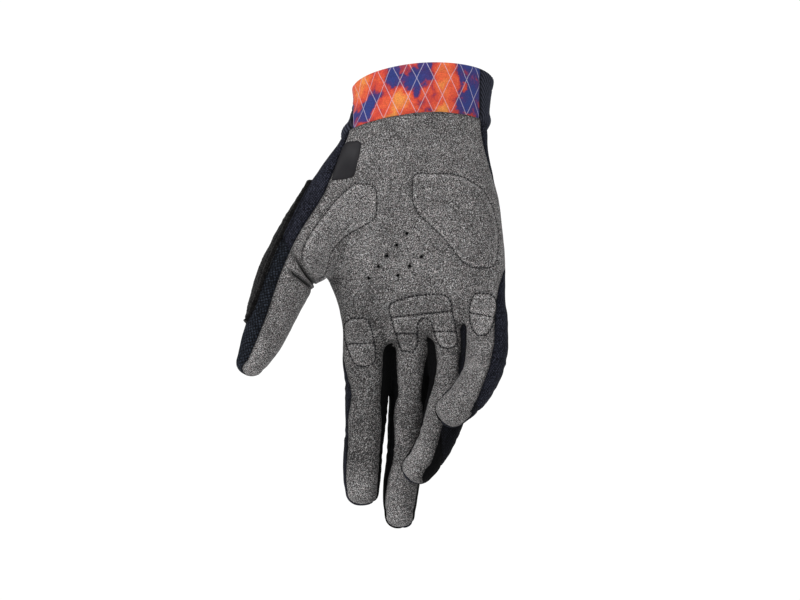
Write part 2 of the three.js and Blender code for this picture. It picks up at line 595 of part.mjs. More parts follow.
// A patch that swells out of the palm, laid over the skin along its ribs and seated on the cloth.
function patchSolid({ ribs, height, edge, steps, across }) {
  const outline = outlineOf(ribs);
  const read = along(ribs);
  const top = [];
  const bottom = [];
  for (let k = 0; k <= steps; k++) {
    const rib = read(k / steps);
    for (let i = 0; i <= across; i++) {
      const share = (1 - Math.cos((i / across) * Math.PI)) / 2;
      const x = THREE.MathUtils.lerp(rib.leftX, rib.rightX, share);
      const z = THREE.MathUtils.lerp(rib.leftZ, rib.rightZ, share);
      const { point, outwards } = palmAt(x, z);
      const rim = k === 0 || k === steps || i === 0 || i === across;
      const inside = rim ? 0 : Math.abs(depthInside(outline, new THREE.Vector2(x, z)));
      const rise = RIM + (height - RIM) * (1 - Math.exp(-inside / edge));
      top.push(point.clone().addScaledVector(outwards, SEAM_GAP + rise));
      bottom.push(point.clone().addScaledVector(outwards, -3));
    }
  }
  const faces = [];
  const n = across + 1;
  for (let k = 0; k < steps; k++) {
    for (let i = 0; i < across; i++) {
      const a = k * n + i;
      const under = a + top.length;
      faces.push(a, a + 1, a + n, a + 1, a + n + 1, a + n);
      faces.push(under, under + n, under + 1, under + 1, under + n, under + n + 1);
    }
  }
  const walls = [];
  for (let i = 0; i < across; i++) walls.push(i);
  for (let k = 0; k < steps; k++) walls.push(k * n + across);
  for (let i = across; i > 0; i--) walls.push(steps * n + i);
  for (let k = steps; k > 0; k--) walls.push(k * n);
  walls.forEach((a, i) => {
    const b = walls[(i + 1) % walls.length];
    faces.push(a, a + top.length, b, b, a + top.length, b + top.length);
  });
  return largest(solidOf([...top, ...bottom], faces).subtract(seat));
}

// The flat tag at the heel of the hand: the skin's outline moved out, within the tag's own outline.
function labelSolid({ ribs, thick }) {
  const shape = new THREE.Shape(outlineOf(ribs, 6));
  const prism = new THREE.ExtrudeGeometry(shape, { depth: FAR, bevelEnabled: false });
  prism.rotateX(Math.PI / 2);
  return largest(solidOfGeometry(prism).intersect(grown(SEAM_GAP + thick, FINE)).subtract(seat));
}

// The towelling strip, bent round the thumb and seated on it.
function wipeSolid() {
  const rows = DIGITS.thumb.rows;
  const read = along(rows);
  const from = placeAtLevel(rows, WIPE.top);
  const to = placeAtLevel(rows, WIPE.bottom);
  const rings = [];
  const stations = 8;
  const steps = 4;
  for (let k = 0; k <= stations; k++) {
    const f = digitFrame(read, THREE.MathUtils.lerp(from, to, k / stations));
    const taper = Math.sin((0.12 + 0.76 * (k / stations)) * Math.PI) ** 0.4;
    const middle = (WIPE.near + WIPE.far) / 2;
    const spread = ((WIPE.near - WIPE.far) / 2) * taper;
    const angles = Array.from({ length: steps + 1 }, (_, i) =>
      THREE.MathUtils.degToRad(middle - spread + (2 * spread * i) / steps),
    );
    const outside = angles.map((angle, i) => {
      const round = i === 0 || i === steps ? 0.55 : 1;
      return skin(f, angle, SEAM_GAP + WIPE.thick * round);
    });
    const inside = angles.map((angle) => skin(f, angle, -1.5)).reverse();
    rings.push([...outside, ...inside]);
  }
  return largest(loft(rings).subtract(seat));
}

const CLOTHS = {
  suede: { color: 0x626060, roughness: 0.95 },
  knit: { color: 0x20212a, roughness: 0.9 },
  mesh: { color: 0x0c0c10, roughness: 0.9 },
  towelling: { color: 0x1e1e1f, roughness: 1 },
  print: { color: 0xe0784a, roughness: 0.85 },
  rib: { color: 0x272932, roughness: 0.9 },
  tag: { color: 0x2d2c30, roughness: 0.6 },
};

const glove = new THREE.Group();

function add(name, solid, cloth) {
  const mesh = meshOf(largest(solid));
  mesh.material = new THREE.MeshStandardMaterial({ ...CLOTHS[cloth], metalness: 0 });
  mesh.name = name;
  glove.add(mesh);
}

add("palm_panel", palm, "suede");
add("back_panel", back, "knit");
add("thumb_front", thumbPart.intersect(stripCutter(DIGITS.thumb, -HALF_GAP)), "suede");
add("thumb_back", thumbPart.subtract(stripCutter(DIGITS.thumb, HALF_GAP)), "knit");
add("thumb_wipe", wipeSolid(), "towelling");
pairs.forEach(([one, other], i) => add(`${one}_${other}_gusset`, gussets[i], "mesh"));
add("cuff_print_band", cuff.intersect(printCutter(-HALF_GAP)), "print");
add("cuff_rib_band", cuff.subtract(printCutter(HALF_GAP)), "rib");
for (const [name, patch] of Object.entries(PATCHES)) add(name, patchSolid(patch), "suede");
add("heel_label", labelSolid(HEEL_LABEL), "tag");

export default glove;
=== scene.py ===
import math

import bpy
import numpy as np
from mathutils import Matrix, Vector
from mathutils.bvhtree import BVHTree
from mathutils.kdtree import KDTree


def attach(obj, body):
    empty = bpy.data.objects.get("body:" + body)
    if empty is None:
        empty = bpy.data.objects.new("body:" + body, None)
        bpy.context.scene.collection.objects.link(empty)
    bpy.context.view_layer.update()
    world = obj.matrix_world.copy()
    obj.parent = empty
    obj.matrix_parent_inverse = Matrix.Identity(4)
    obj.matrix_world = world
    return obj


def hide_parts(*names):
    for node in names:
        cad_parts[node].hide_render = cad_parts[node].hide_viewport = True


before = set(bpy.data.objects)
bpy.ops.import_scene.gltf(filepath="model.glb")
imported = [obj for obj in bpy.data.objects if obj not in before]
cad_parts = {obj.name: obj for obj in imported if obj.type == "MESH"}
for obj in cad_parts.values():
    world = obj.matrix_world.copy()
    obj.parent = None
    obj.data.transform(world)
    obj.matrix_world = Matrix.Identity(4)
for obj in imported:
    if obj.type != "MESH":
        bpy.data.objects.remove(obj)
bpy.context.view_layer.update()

# The form that an unseen relaxed hand gives the glove: the hand's body, four fingers, the thumb and its ball.
# It isn't a piece itself. Every cloth panel is cut from this one skin, so they all meet at their seams. Sizes
# are millimetres, as in the CAD source, until a piece is made.

# level, centre x and y, half width, palm's and back's depth, dip of the palm, slope, squareness
hand_levels = [
    (16, 0, -4, 35.5, 20, 20, 0, 0, 1.9),
    (0, 0, 0, 35.9, 20, 20, 0, 0, 1.9),
    (-10, -0.4, 2.5, 35, 19.5, 19.5, 0, 0, 1.95),
    (-19, -1.5, 5, 35.5, 19, 19, 0, 0, 2.05),
    (-26, -3.5, 6.5, 37, 19, 18.5, 0, 0, 2.1),
    (-36, -5.5, 8, 39, 19.5, 18, 0.5, 0, 2.2),
    (-48.5, -7, 9, 43, 20, 17, 1.5, 0, 2.3),
    (-61, -7.5, 9.5, 46.5, 20.5, 16.5, 3, 0, 2.4),
    (-74, -8, 9.5, 48.7, 20, 16, 4, 0, 2.4),
    (-87, -7, 9, 49, 18.5, 15.5, 3.5, 0.02, 2.4),
    (-98, -3.4, 8.5, 46, 17, 15, 2, 0.06, 2.4),
    (-105, -1.3, 8.2, 44, 16, 14.5, 1.5, 0.1, 2.4),
    (-114, 0.3, 7.8, 42.6, 14.7, 13.6, 0.8, 0.18, 2.4),
    (-127, 1, 7.5, 41.3, 11.5, 11.5, 0, 0.27, 2.4),
]
web_rounding = 4
dip_at, dip_spread = 2, 17
digit_turns = 70  # rings along a digit

# centre, half width, half depth, turn in degrees, left and right seam of the grey strip
digit_stations = {
    "index": [
        (-29.6, 6.5, -112, 11.4, 11, 0, -11.6, 9.4),
        (-29.3, 5, -138.5, 12, 10.6, 0, -11.7, 9.3),
        (-28.4, 4, -153.5, 11.2, 10.3, 0, -10, 7.8),
        (-28.6, 3, -163, 10.9, 10, 0, -8.2, 7.3),
        (-29.4, 1.5, -176.5, 10.2, 9.6, 0, -9.3, 8.4),
        (-30.4, -0.5, -189.5, 9.8, 9.3, 0, -7.9, 8.6),
        (-31, -3.5, -204, 9.5, 9, 0, -8.4, 8.4),
        (-31, -5, -211, 8.6, 8.4, 0, -8, 8),
    ],
    "middle": [
        (-6.5, 9.5, -112, 10, 11, 0, -8, 8.5),
        (-6.3, 11, -138.5, 10.7, 10.8, 0, -7.5, 8.3),
        (-6.4, 10.8, -153.5, 10.6, 10.4, 0, -6.7, 6.7),
        (-6.6, 10.2, -161.5, 10.3, 10, 0, -6, 6),
        (-7.4, 9, -171.5, 9.8, 9.7, 0, -7.6, 7.8),
        (-8.7, 6.8, -186.5, 9.4, 9.4, 0, -6, 7.5),
        (-9.7, 4.6, -197, 9.2, 9.2, 0, -6, 8),
        (-11, 2, -207, 9.2, 9, 0, -7.3, 8.6),
        (-11.7, -0.5, -217, 8.4, 8.5, 0, -8, 8),
        (-11.8, -1.7, -221.5, 7.6, 7.8, 0, -7.2, 7.2),
    ],
    "ring": [
        (10.5, 8, -112, 10, 11, 0, -7, 7.5),
        (13.1, 6, -138.5, 9.8, 10.5, 0, -6.6, 6.5),
        (13.9, 3, -148.5, 9.8, 10, -4, -6.3, 5.3),
        (12.9, -2, -160, 9.9, 9.8, -14, -6.2, 6.2),
        (11, -7, -171.5, 11, 9.8, -27, -7.2, 5.8),
        (6.9, -12, -184.5, 9.4, 9.4, -36, -6.3, 6.4),
        (1.3, -17, -194, 8.8, 9, -31, -6.6, 6.8),
        (-2.1, -19.5, -198, 8.4, 8.4, -28, -7, 7),
    ],
    "little": [
        (30.4, 7, -103, 11, 10.5, -5, -9.5, 8),
        (32, 4, -118.5, 11.2, 10.4, -12, -8.8, 7.6),
        (32.6, 1.5, -128, 11.1, 10.2, -20, -7.9, 7.9),
        (32.8, -2.5, -138.5, 10.8, 10, -27, -8.1, 8.1),
        (30.8, -8.5, -149.5, 10, 9.7, -36, -8.2, 8.2),
        (24, -17, -160.5, 9.3, 9.2, -37, -8, 8.3),
        (15.5, -24.5, -168.6, 8.7, 8.8, -36, -7.6, 8),
    ],
    "thumb": [
        (-25, 9, -24, 8.5, 9, 46, -8, 8),
        (-36, 6, -43, 12.7, 12.5, 46, -12, 12),
        (-48.6, 1, -64, 14.6, 13.5, 46, -12.2, 13),
        (-61.4, -4, -84.5, 14.2, 13.2, 46, -12.1, 12.6),
        (-69.9, -7.5, -101.6, 14.3, 13.2, 46, -11.8, 13.2),
        (-74.6, -9.5, -113.5, 13, 12.2, 46, -10.7, 11.9),
        (-78.8, -11, -125, 11.5, 11.2, 46, -9.5, 10.4),
        (-83.2, -12.5, -135, 10, 10, 46, -8.3, 9.1),
        (-86.5, -13.5, -142, 8.3, 8.7, 46, -7.1, 7.5),
        (-88.3, -14, -145.3, 7.2, 7.6, 46, -6.2, 6.6),
    ],
    "ball": [
        (-26, 7, -44, 10, 11, 25, 0, 0),
        (-38, 3, -66, 14, 12, 30, 0, 0),
        (-49.5, -0.5, -84, 11.5, 10.5, 35, 0, 0),
        (-54.8, -2.2, -96.5, 7.6, 8, 40, 0, 0),
    ],
}
tip_length = {"index": 7, "middle": 8, "ring": 8, "little": 8, "thumb": 6, "ball": 7}
tip_fullness = {"index": 2.3, "middle": 2.8, "ring": 2.6, "little": 2.6, "thumb": 2.1, "ball": 2}
cloth_grain = 0.98  # how finely the skin is meshed


def along(rows, place):
    """A smooth reading of a table's rows at places from 0 to 1."""
    rows = np.asarray(rows, float)
    longer = np.vstack([2 * rows[0] - rows[1], rows, 2 * rows[-1] - rows[-2]])
    spot = np.clip(np.asarray(place, float), 0, 1) * (len(rows) - 1)
    i = np.minimum(spot.astype(int), len(rows) - 2)
    s = (spot - i)[..., None]
    a, b, c, d = longer[i], longer[i + 1], longer[i + 2], longer[i + 3]
    return b + 0.5 * s * (c - a + s * (2 * a - 5 * b + 4 * c - d + s * (3 * (b - c) + d - a)))


def bell(v, width):
    """1 at nothing, falling away softly over a width."""
    return np.exp(-((v / width) ** 2))


def signed_power(v, exponent):
    return np.sign(v) * np.abs(v) ** exponent


def hand_ring(row, angle, shrink=0.0):
    z, x, y, half, palm, back, dip, slope, square = row
    side = signed_power(np.sin(angle), 2 / square)
    front = signed_power(np.cos(angle), 2 / square)
    depth = np.where(front > 0, palm, back)
    px = x + side * (half - shrink)
    sunk = dip * bell(px - dip_at, dip_spread) * np.maximum(front, 0)
    py = y - front * (depth - shrink) + sunk
    return np.stack([px, py, z + slope * (px - x)], 1)


def unit(v):
    return v / np.maximum(np.linalg.norm(v, axis=-1, keepdims=True), 1e-9)


def digit_frame(name, place):
    """A digit's row at places along it, and the ways ahead to its tip, out of its pad, and sideways."""
    rows = digit_stations[name]
    row = along(rows, place)
    ahead = unit(along(rows, place + 0.01)[..., :3] - along(rows, place - 0.01)[..., :3])
    turn = np.radians(row[..., 5])
    front = np.stack([np.sin(turn), -np.cos(turn), np.zeros_like(turn)], -1)
    front = unit(front - ahead * (front * ahead).sum(-1, keepdims=True))
    return row, ahead, front, np.cross(front, ahead)


def loft(rings):
    """Points and triangles of a closed form through rings with the same number of points."""
    n = len(rings[0])
    points = np.vstack([*rings, rings[0].mean(0)[None], rings[-1].mean(0)[None]])
    i = np.arange(n)
    after = (i + 1) % n
    faces = []
    for k in range(len(rings) - 1):
        a, b = k * n + i, k * n + after
        faces += [np.stack([a, b, a + n], 1), np.stack([b, b + n, a + n], 1)]
    first, last = len(points) - 2, len(points) - 1
    low = (len(rings) - 1) * n
    faces.append(np.stack([after, i, np.full(n, first)], 1))
    faces.append(np.stack([low + i, low + after, np.full(n, last)], 1))
    faces = np.vstack(faces)
    a, b, c = points[faces[:, 0]], points[faces[:, 1]], points[faces[:, 2]]
    if (np.cross(a, b) * c).sum() < 0:
        faces = faces[:, ::-1]
    return points, faces


def hand_loft():
    angle = np.arange(120) / 120 * 2 * np.pi
    rings = [hand_ring(row, angle) for row in along(hand_levels, np.linspace(0, 1, 90))]
    end = along(hand_levels, 1.0)
    for k in range(1, 7):
        bend = k / 6 * np.pi / 2
        row = end.copy()
        row[0] -= web_rounding * np.sin(bend)
        rings.append(hand_ring(row, angle, (1 - np.cos(bend)) * (end[4] - 3)))
    return loft(rings)


def digit_loft(name):
    angle = (np.arange(56) / 56 * 2 * np.pi)[:, None]
    rings = []
    row, ahead, front, side = digit_frame(name, np.linspace(0, 1, digit_turns))
    for k in range(digit_turns):
        rings.append(row[k, :3] + side[k] * np.sin(angle) * row[k, 3] + front[k] * np.cos(angle) * row[k, 4])
    full = 2 / tip_fullness[name]
    for bend in np.radians(np.linspace(0, 87, 12)[1:]):
        ring = side[-1] * np.sin(angle) * row[-1, 3] + front[-1] * np.cos(angle) * row[-1, 4]
        onward = ahead[-1] * tip_length[name] * np.sin(bend) ** full
        rings.append(row[-1, :3] + ring * np.cos(bend) ** full + onward)
    return loft(rings)


def mesh_of(name, points, faces, scale=0.001):
    mesh = bpy.data.meshes.new(name)
    faces = np.asarray(faces)
    corners = faces.shape[1]
    mesh.vertices.add(len(points))
    mesh.vertices.foreach_set("co", (np.asarray(points, float) * scale).ravel().astype(np.float32))
    mesh.loops.add(faces.size)
    mesh.loops.foreach_set("vertex_index", faces.ravel().astype(np.int32))
    mesh.polygons.add(len(faces))
    mesh.polygons.foreach_set("loop_start", np.arange(0, faces.size, corners, dtype=np.int32))
    mesh.update(calc_edges=True)
    mesh.validate()
    return mesh


def read_mesh(mesh):
    points = np.zeros(len(mesh.vertices) * 3, np.float32)
    mesh.vertices.foreach_get("co", points)
    mesh.calc_loop_triangles()
    faces = np.zeros(len(mesh.loop_triangles) * 3, np.int32)
    mesh.loop_triangles.foreach_get("vertices", faces)
    return points.reshape(-1, 3).astype(float), faces.reshape(-1, 3).astype(np.int64)


def worked(piece):
    """The plain mesh that a piece's modifiers make of it."""
    return bpy.data.meshes.new_from_object(piece.evaluated_get(bpy.context.evaluated_depsgraph_get()))


def one_skin(lofts, grain):
    """The outside of all the forms together, as one skin."""
    points, faces, first = [], [], 0
    for p, f in lofts:
        points.append(p)
        faces.append(f + first)
        first += len(p)
    form = bpy.data.objects.new("form", mesh_of("form", np.vstack(points), np.vstack(faces), 1))
    bpy.context.scene.collection.objects.link(form)
    remesh = form.modifiers.new("one skin", "REMESH")
    remesh.mode = "VOXEL"
    remesh.voxel_size = grain
    skin = read_mesh(worked(form))
    bpy.data.objects.remove(form)
    return skin


def edges_of(faces, count):
    """Every edge once, and the three edges of each face."""
    pairs = np.sort(np.stack([faces, np.roll(faces, -1, 1)], 2).reshape(-1, 2), 1)
    keys, sides = np.unique(pairs[:, 0] * count + pairs[:, 1], return_inverse=True)
    return np.stack([keys // count, keys % count], 1), sides.reshape(-1, 3)


def spread_evenly(points, edges, rounds, weight=0.5, back=-0.52, amount=None):
    """Evens the skin out. With a pull back after each step the form keeps its fullness."""
    a, b = edges.T
    n = len(points)
    friends = np.bincount(a, minlength=n) + np.bincount(b, minlength=n)
    amount = np.ones(n) if amount is None else amount
    for _ in range(rounds):
        for step in (weight, back):
            if step == 0:
                continue
            total = np.stack(
                [np.bincount(a, points[b, k], n) + np.bincount(b, points[a, k], n) for k in range(3)], 1
            )
            points = points + (total / friends[:, None] - points) * (step * amount)[:, None]
    return points


def hand_place(points):
    """The hand's row at each point's level, the level, and how far out the point lies, where 1 is the skin."""
    rows = along(hand_levels, np.linspace(0, 1, 400))[::-1]
    level = points[:, 2].copy()
    for _ in range(4):
        row = np.stack([np.interp(level, rows[:, 0], rows[:, k]) for k in range(9)], 1)
        level = points[:, 2] - row[:, 7] * (points[:, 0] - row[:, 1])
    side = np.abs(points[:, 0] - row[:, 1]) / row[:, 3]
    forward = row[:, 2] - points[:, 1]
    front = np.abs(forward) / np.where(forward > 0, row[:, 4], row[:, 5])
    out = (side ** row[:, 8] + front ** row[:, 8]) ** (1 / row[:, 8])
    below = np.maximum(hand_levels[-1][0] - level, 0) / web_rounding
    return row, level, np.hypot(out, below)


def digit_place(name, points):
    """Where each point lies on a digit: along it, sideways, forwards, past the last station, how far out."""
    stations = digit_stations[name]
    places = np.linspace(0, 1, 160)
    centres = along(stations, places)[:, :3]
    place = np.empty(len(points))
    for k in range(0, len(points), 8000):
        part = points[k : k + 8000]
        far = ((part[:, None] - centres[None]) ** 2).sum(2)
        place[k : k + 8000] = places[far.argmin(1)]
    for _ in range(2):
        row, ahead, front, side = digit_frame(name, place)
        stretch = along(stations, place + 0.01) - along(stations, place - 0.01)
        speed = np.linalg.norm(stretch[:, :3], axis=1)
        gap = ((points - row[:, :3]) * ahead).sum(1)
        place = np.clip(place + 0.02 * gap / np.maximum(speed, 1e-6), 0, 1)
    row, ahead, front, side = digit_frame(name, place)
    offset = points - row[:, :3]
    sideways, forwards, onward = ((offset * way).sum(1) for way in (side, front, ahead))
    past_tip = np.maximum(onward, 0) * (place > 0.995)
    onward = np.where(place > 0.5, past_tip, np.minimum(onward, 0) * (place < 0.005))
    length = np.where(onward > 0, tip_length[name], 5.0)
    out = np.sqrt((sideways / row[:, 3]) ** 2 + (forwards / row[:, 4]) ** 2 + (onward / length) ** 2)
    away = unit(
        side * (sideways / row[:, 3])[:, None]
        + front * (forwards / row[:, 4])[:, None]
        + ahead * (onward / length)[:, None]
    )
    return {
        "row": row,
        "place": place,
        "side": sideways,
        "front": forwards,
        "onward": onward,
        "out": out,
        "facing": -away[:, 1],
    }


def ease(v):
    v = np.clip(v, 0, 1)
    return v * v * (3 - 2 * v)


def lesser(a, b, soft=2.0):
    h = np.clip(0.5 + 0.5 * (b - a) / soft, 0, 1)
    return b * (1 - h) + a * h - soft * h * (1 - h)


def greater(a, b, soft=2.0):
    return -lesser(-a, -b, soft)


digits = ["index", "middle", "ring", "little", "thumb", "ball"]
skin_points, skin_faces = one_skin([hand_loft(), *[digit_loft(name) for name in digits]], cloth_grain)
skin_edges, _ = edges_of(skin_faces, len(skin_points))
skin_points = spread_evenly(skin_points, skin_edges, 8)
outness = np.stack([hand_place(skin_points)[2], *[digit_place(n, skin_points)["out"] for n in digits]], 1)
outness.sort(1)
in_fold = ease((1.45 - outness[:, 1]) / 0.35)  # where two forms meet, the cloth bridges the fold between them
skin_points = spread_evenly(skin_points, skin_edges, 26, 0.55, 0, in_fold * 0.9)
near_webs = ease(1 - np.abs(skin_points[:, 2] + 129) / 10) * ease((9 - skin_points[:, 1]) / 4)
near_webs *= ease((2.6 - outness[:, 1]) / 0.8)
skin_points = spread_evenly(skin_points, skin_edges, 30, 0.55, 0, near_webs * 0.8)
skin_points = spread_evenly(skin_points, skin_edges, 3)

# The cutting pattern: the seams between the grey palm and thumb front, the navy back and the black gussets.
# Each seam is where a measure over the skin passes through nothing, so it runs smoothly across the cloth.

# the palm's edges: level, left and right side, slope
palm_edges = np.array(
    [
        (10, -40, 30, 0),
        (-20, -38, 30, 0),
        (-26, -37.8, 30.5, 0),
        (-36, -41.5, 32.5, 0),
        (-46, -45.5, 35, 0),
        (-52, -48, 36.5, 0),
        (-61, -50, 42, 0),
        (-74, -52, 48, 0),
        (-90, -54, 48, 0),
        (-102, -56, 42, 0.08),
        (-115, -56, 39.5, 0.17),
        (-130, -52, 37.5, 0.27),
    ]
)[::-1]
cuff_up = np.array([-0.0523, 0.4062, 0.9123])  # square to the rim of the cuff
cuff_height = 21
thumb_seam_at = np.array([-61.4, 0, -96.1])
thumb_seam_ahead = unit(np.array([-0.82, 0, -0.58]))
thumb_seam_down = unit(np.array([0.58, 0, -0.82]))
gusset_pairs = [("index", "middle"), ("middle", "ring"), ("ring", "little")]
gusset_from = {"index": 0.14, "middle": 0.08, "ring": 0.05, "little": 0.3}
perforations = [(-8, -78.4), (-13.2, -84.4), (-18.2, -89.9), (-22.7, -95.4), (-27.6, -101.4)]
perforations += [(-0.5, -90.3), (-6.6, -95), (-12.7, -100)]
perforation_size = 1.7


# at a tip: the left and right seam as shares of the half width, and how far under the outline its end seam is
tip_seams = {
    "index": (-0.93, 0.95, 2.3),
    "middle": (-0.95, 0.96, 2.3),
    "ring": (-9, 0.8, 1.6),
    "little": (-9, 1.05, 1.3),
    "thumb": (-0.93, 9, 0.9),
}


def strip_measure(name, where):
    """How far inside a digit's grey strip each point lies."""
    row, side, front = where["row"], where["side"], where["front"]
    angle = np.arctan2(side / row[:, 3], front / row[:, 4])
    left = np.arcsin(np.clip(row[:, 6] / row[:, 3], -0.98, 0.98))
    right = np.arcsin(np.clip(row[:, 7] / row[:, 3], -0.98, 0.98))
    shaft = np.minimum(angle - left, right - angle) * (row[:, 3] + row[:, 4]) / 2
    tip_left, tip_right, under = tip_seams[name]
    sides = lesser(side - tip_left * row[:, 3], tip_right * row[:, 3] - side, 1.5)
    if name == "thumb":  # its left seam runs on round the end to a point
        end = np.clip(where["onward"] / tip_length[name], 0, 1)
        sides = (angle - left + 0.35 * end) * row[:, 3] * np.sqrt(np.maximum(1 - end * end, 0.05))
    tip = lesser(sides, where["facing"] * 8 - under, 1.5)
    before = {"ring": 0.75, "little": 0.7}.get(name, 0.93)
    mix = ease((where["place"] - before) / (1.01 - before))
    return shaft * (1 - mix) + tip * mix


def past_thumb_seam(points):
    """How far each point lies past the thumb's seam, and how far down along that seam."""
    ahead = (points - thumb_seam_at) @ thumb_seam_ahead
    down = (points - thumb_seam_at) @ thumb_seam_down
    return ahead - 0.5 * bell(down - 4.5, 5), down


def hole_measure(points):
    """How far each point lies outside the nearest perforation."""
    far = np.full(len(points), 9.0)
    for x, z in perforations:
        far = np.minimum(far, np.hypot(points[:, 0] - x, points[:, 2] - z) - perforation_size / 2)
    return np.where(points[:, 1] < 2, far, 9)


def cutting_measures(points):
    """The measures that the skin is cut by, a column for each: cuff, thumb, palm and the three gussets."""
    row, level, hand_out = hand_place(points)
    where = {name: digit_place(name, points) for name in digits}
    x, y, z = points.T
    edge = np.stack([np.interp(level, palm_edges[:, 0], palm_edges[:, k]) for k in (1, 2)], 1)
    on_body = lesser(lesser(x - edge[:, 0], edge[:, 1] - x, 2), row[:, 2] - y, 2)
    fingers = digits[:4]
    outs = np.stack([where[n]["out"] for n in fingers], 1)
    own = outs.argmin(1)
    strips = np.stack([strip_measure(n, where[n]) for n in fingers], 1)
    strip = np.take_along_axis(strips, own[:, None], 1)[:, 0]
    onto_from = np.interp(x, [-18, 0, 8, 23], [-121, -124, -124, -117.5])
    onto_finger = ease((onto_from - level) / 14)
    palm = on_body * (1 - onto_finger) + strip * onto_finger
    thumb = where["thumb"]
    near_thumb = (1.5 - thumb["out"]) * 10
    past_seam = np.minimum(past_thumb_seam(points)[0], near_thumb)
    thumb_strip = strip_measure("thumb", thumb)
    beside = np.minimum(thumb_strip, near_thumb + 4)
    before = greater(palm, beside, 2)
    mix = ease(past_seam / 5)
    palm = before * (1 - mix) + thumb_strip * mix
    gussets = []
    for one, other in gusset_pairs:
        parts = []
        for name, way in ((one, 1), (other, -1)):
            w = where[name]
            start = along(digit_stations[name], gusset_from[name])[2]
            half = w["row"][:, 3]
            part = lesser(w["front"] + 0.55 * w["row"][:, 4], way * w["side"] - 0.3 * half, 2)
            part = lesser(part, start - z, 3)
            part = lesser(part, tip_length[name] * 0.6 - w["onward"], 3)
            parts.append(np.where(own == fingers.index(name), part, -4))
        x_one, x_other = (along(digit_stations[n], 0.2)[0] for n in (one, other))
        web = lesser(lesser(x - x_one - 4, x_other - 4 - x, 1), lesser(-127.5 - level, 13.5 - y, 2), 2)
        gussets.append(greater(greater(parts[0], parts[1], 1), web, 1))
    return np.stack([points @ cuff_up + cuff_height, past_seam, palm, *gussets], 1)


def cut_edges(points, measures, faces, marked, share, edges, sides):
    """New points on the marked edges, and the triangles that they make."""
    fresh = np.full(len(edges), -1)
    fresh[marked] = len(points) + np.arange(marked.sum())
    a, b = edges[marked].T
    s = share[marked][:, None]
    points = np.vstack([points, points[a] * (1 - s) + points[b] * s])
    measures = np.vstack([measures, measures[a] * (1 - s) + measures[b] * s])
    middles = fresh[sides]
    count = (middles >= 0).sum(1)
    made = [faces[count == 0]]
    for number in (1, 2, 3):
        chosen = count == number
        f, m = faces[chosen], middles[chosen]
        if number < 3:
            odd = (m >= 0) if number == 1 else (m < 0)
            order = ((odd.argmax(1) + 2) % 3)[:, None] + np.arange(3)[None]
            f, m = np.take_along_axis(f, order % 3, 1), np.take_along_axis(m, order % 3, 1)
        v0, v1, v2 = f.T
        m0, m1, m2 = m.T
        if number == 1:
            made += [np.stack([v0, v1, m1], 1), np.stack([v0, m1, v2], 1)]
        elif number == 2:
            made += [np.stack([v0, m0, m2], 1), np.stack([m0, v1, v2], 1), np.stack([m0, v2, m2], 1)]
        else:
            made += [np.stack([v0, m0, m2], 1), np.stack([m0, v1, m1], 1)]
            made += [np.stack([m1, v2, m2], 1), np.stack([m0, m1, m2], 1)]
    return points, measures, np.vstack(made)


def cut_along(points, measures, faces, column, snap=0.12):
    """Cuts the triangles where one measure passes through nothing."""
    v = measures[:, column]
    v[np.abs(v) < snap] = 0
    edges, sides = edges_of(faces, len(points))
    a, b = edges.T
    crossing = v[a] * v[b] < 0
    share = np.where(crossing, v[a] / np.where(crossing, v[a] - v[b], 1), 0.5)
    points, measures, faces = cut_edges(points, measures, faces, crossing, share, edges, sides)
    measures[len(v) :, column] = 0
    return points, measures, faces


def finer_near(points, measures, faces, wanted):
    """Halves the edges that are longer than the length wanted at their middle."""
    edges, sides = edges_of(faces, len(points))
    a, b = edges.T
    length = np.linalg.norm(points[a] - points[b], axis=1)
    marked = length > np.minimum(wanted[a], wanted[b])
    return cut_edges(points, measures, faces, marked, np.full(len(edges), 0.5), edges, sides)


def distance_to(points, seeds, reach):
    """How far each point lies from the nearest of the seeds, up to a reach."""
    tree = KDTree(len(seeds))
    for k, seed in enumerate(seeds):
        tree.insert(seed, k)
    tree.balance()
    found = np.full(len(points), float(reach))
    for k, p in enumerate(points):
        found[k] = min(tree.find(p)[2], reach)
    return found


def region_of(measures, faces):
    """The panel of each triangle: 0 palm, 1 back, 2 thumb front, 3 thumb back, 4 to 6 gussets."""
    m = measures[faces].mean(1)
    region = np.where(m[:, 2] > 0, 0, 1)
    for k in range(3):
        region[(m[:, 3 + k] > 0) & (region == 1)] = 4 + k
    thumb = m[:, 1] > 0
    region[thumb] = np.where(m[thumb, 2] > 0, 2, 3)
    return region


skin_measures = cutting_measures(skin_points)
for column in range(6):
    skin_points, skin_measures, skin_faces = cut_along(skin_points, skin_measures, skin_faces, column)
skin_faces = skin_faces[skin_measures[skin_faces, 0].mean(1) < 0]


def panels_beside(points, measures, faces):
    """Every edge, the lowest and the highest panel that meet there, and how many triangles do."""
    region = region_of(measures, faces)
    edges, sides = edges_of(faces, len(points))
    low = np.full(len(edges), 99)
    high = np.full(len(edges), -99)
    np.minimum.at(low, sides, region[:, None])
    np.maximum.at(high, sides, region[:, None])
    return edges, low, high, np.bincount(sides.ravel(), minlength=len(edges))


def seam_seeds(points, measures, faces):
    """Places along the edges where two panels meet, or where the skin ends at the cuff."""
    edges, low, high, uses = panels_beside(points, measures, faces)
    edges = edges[(low != high) | (uses == 1)]
    a, b = points[edges[:, 0]], points[edges[:, 1]]
    return np.vstack([a, b, (a + b) / 2])


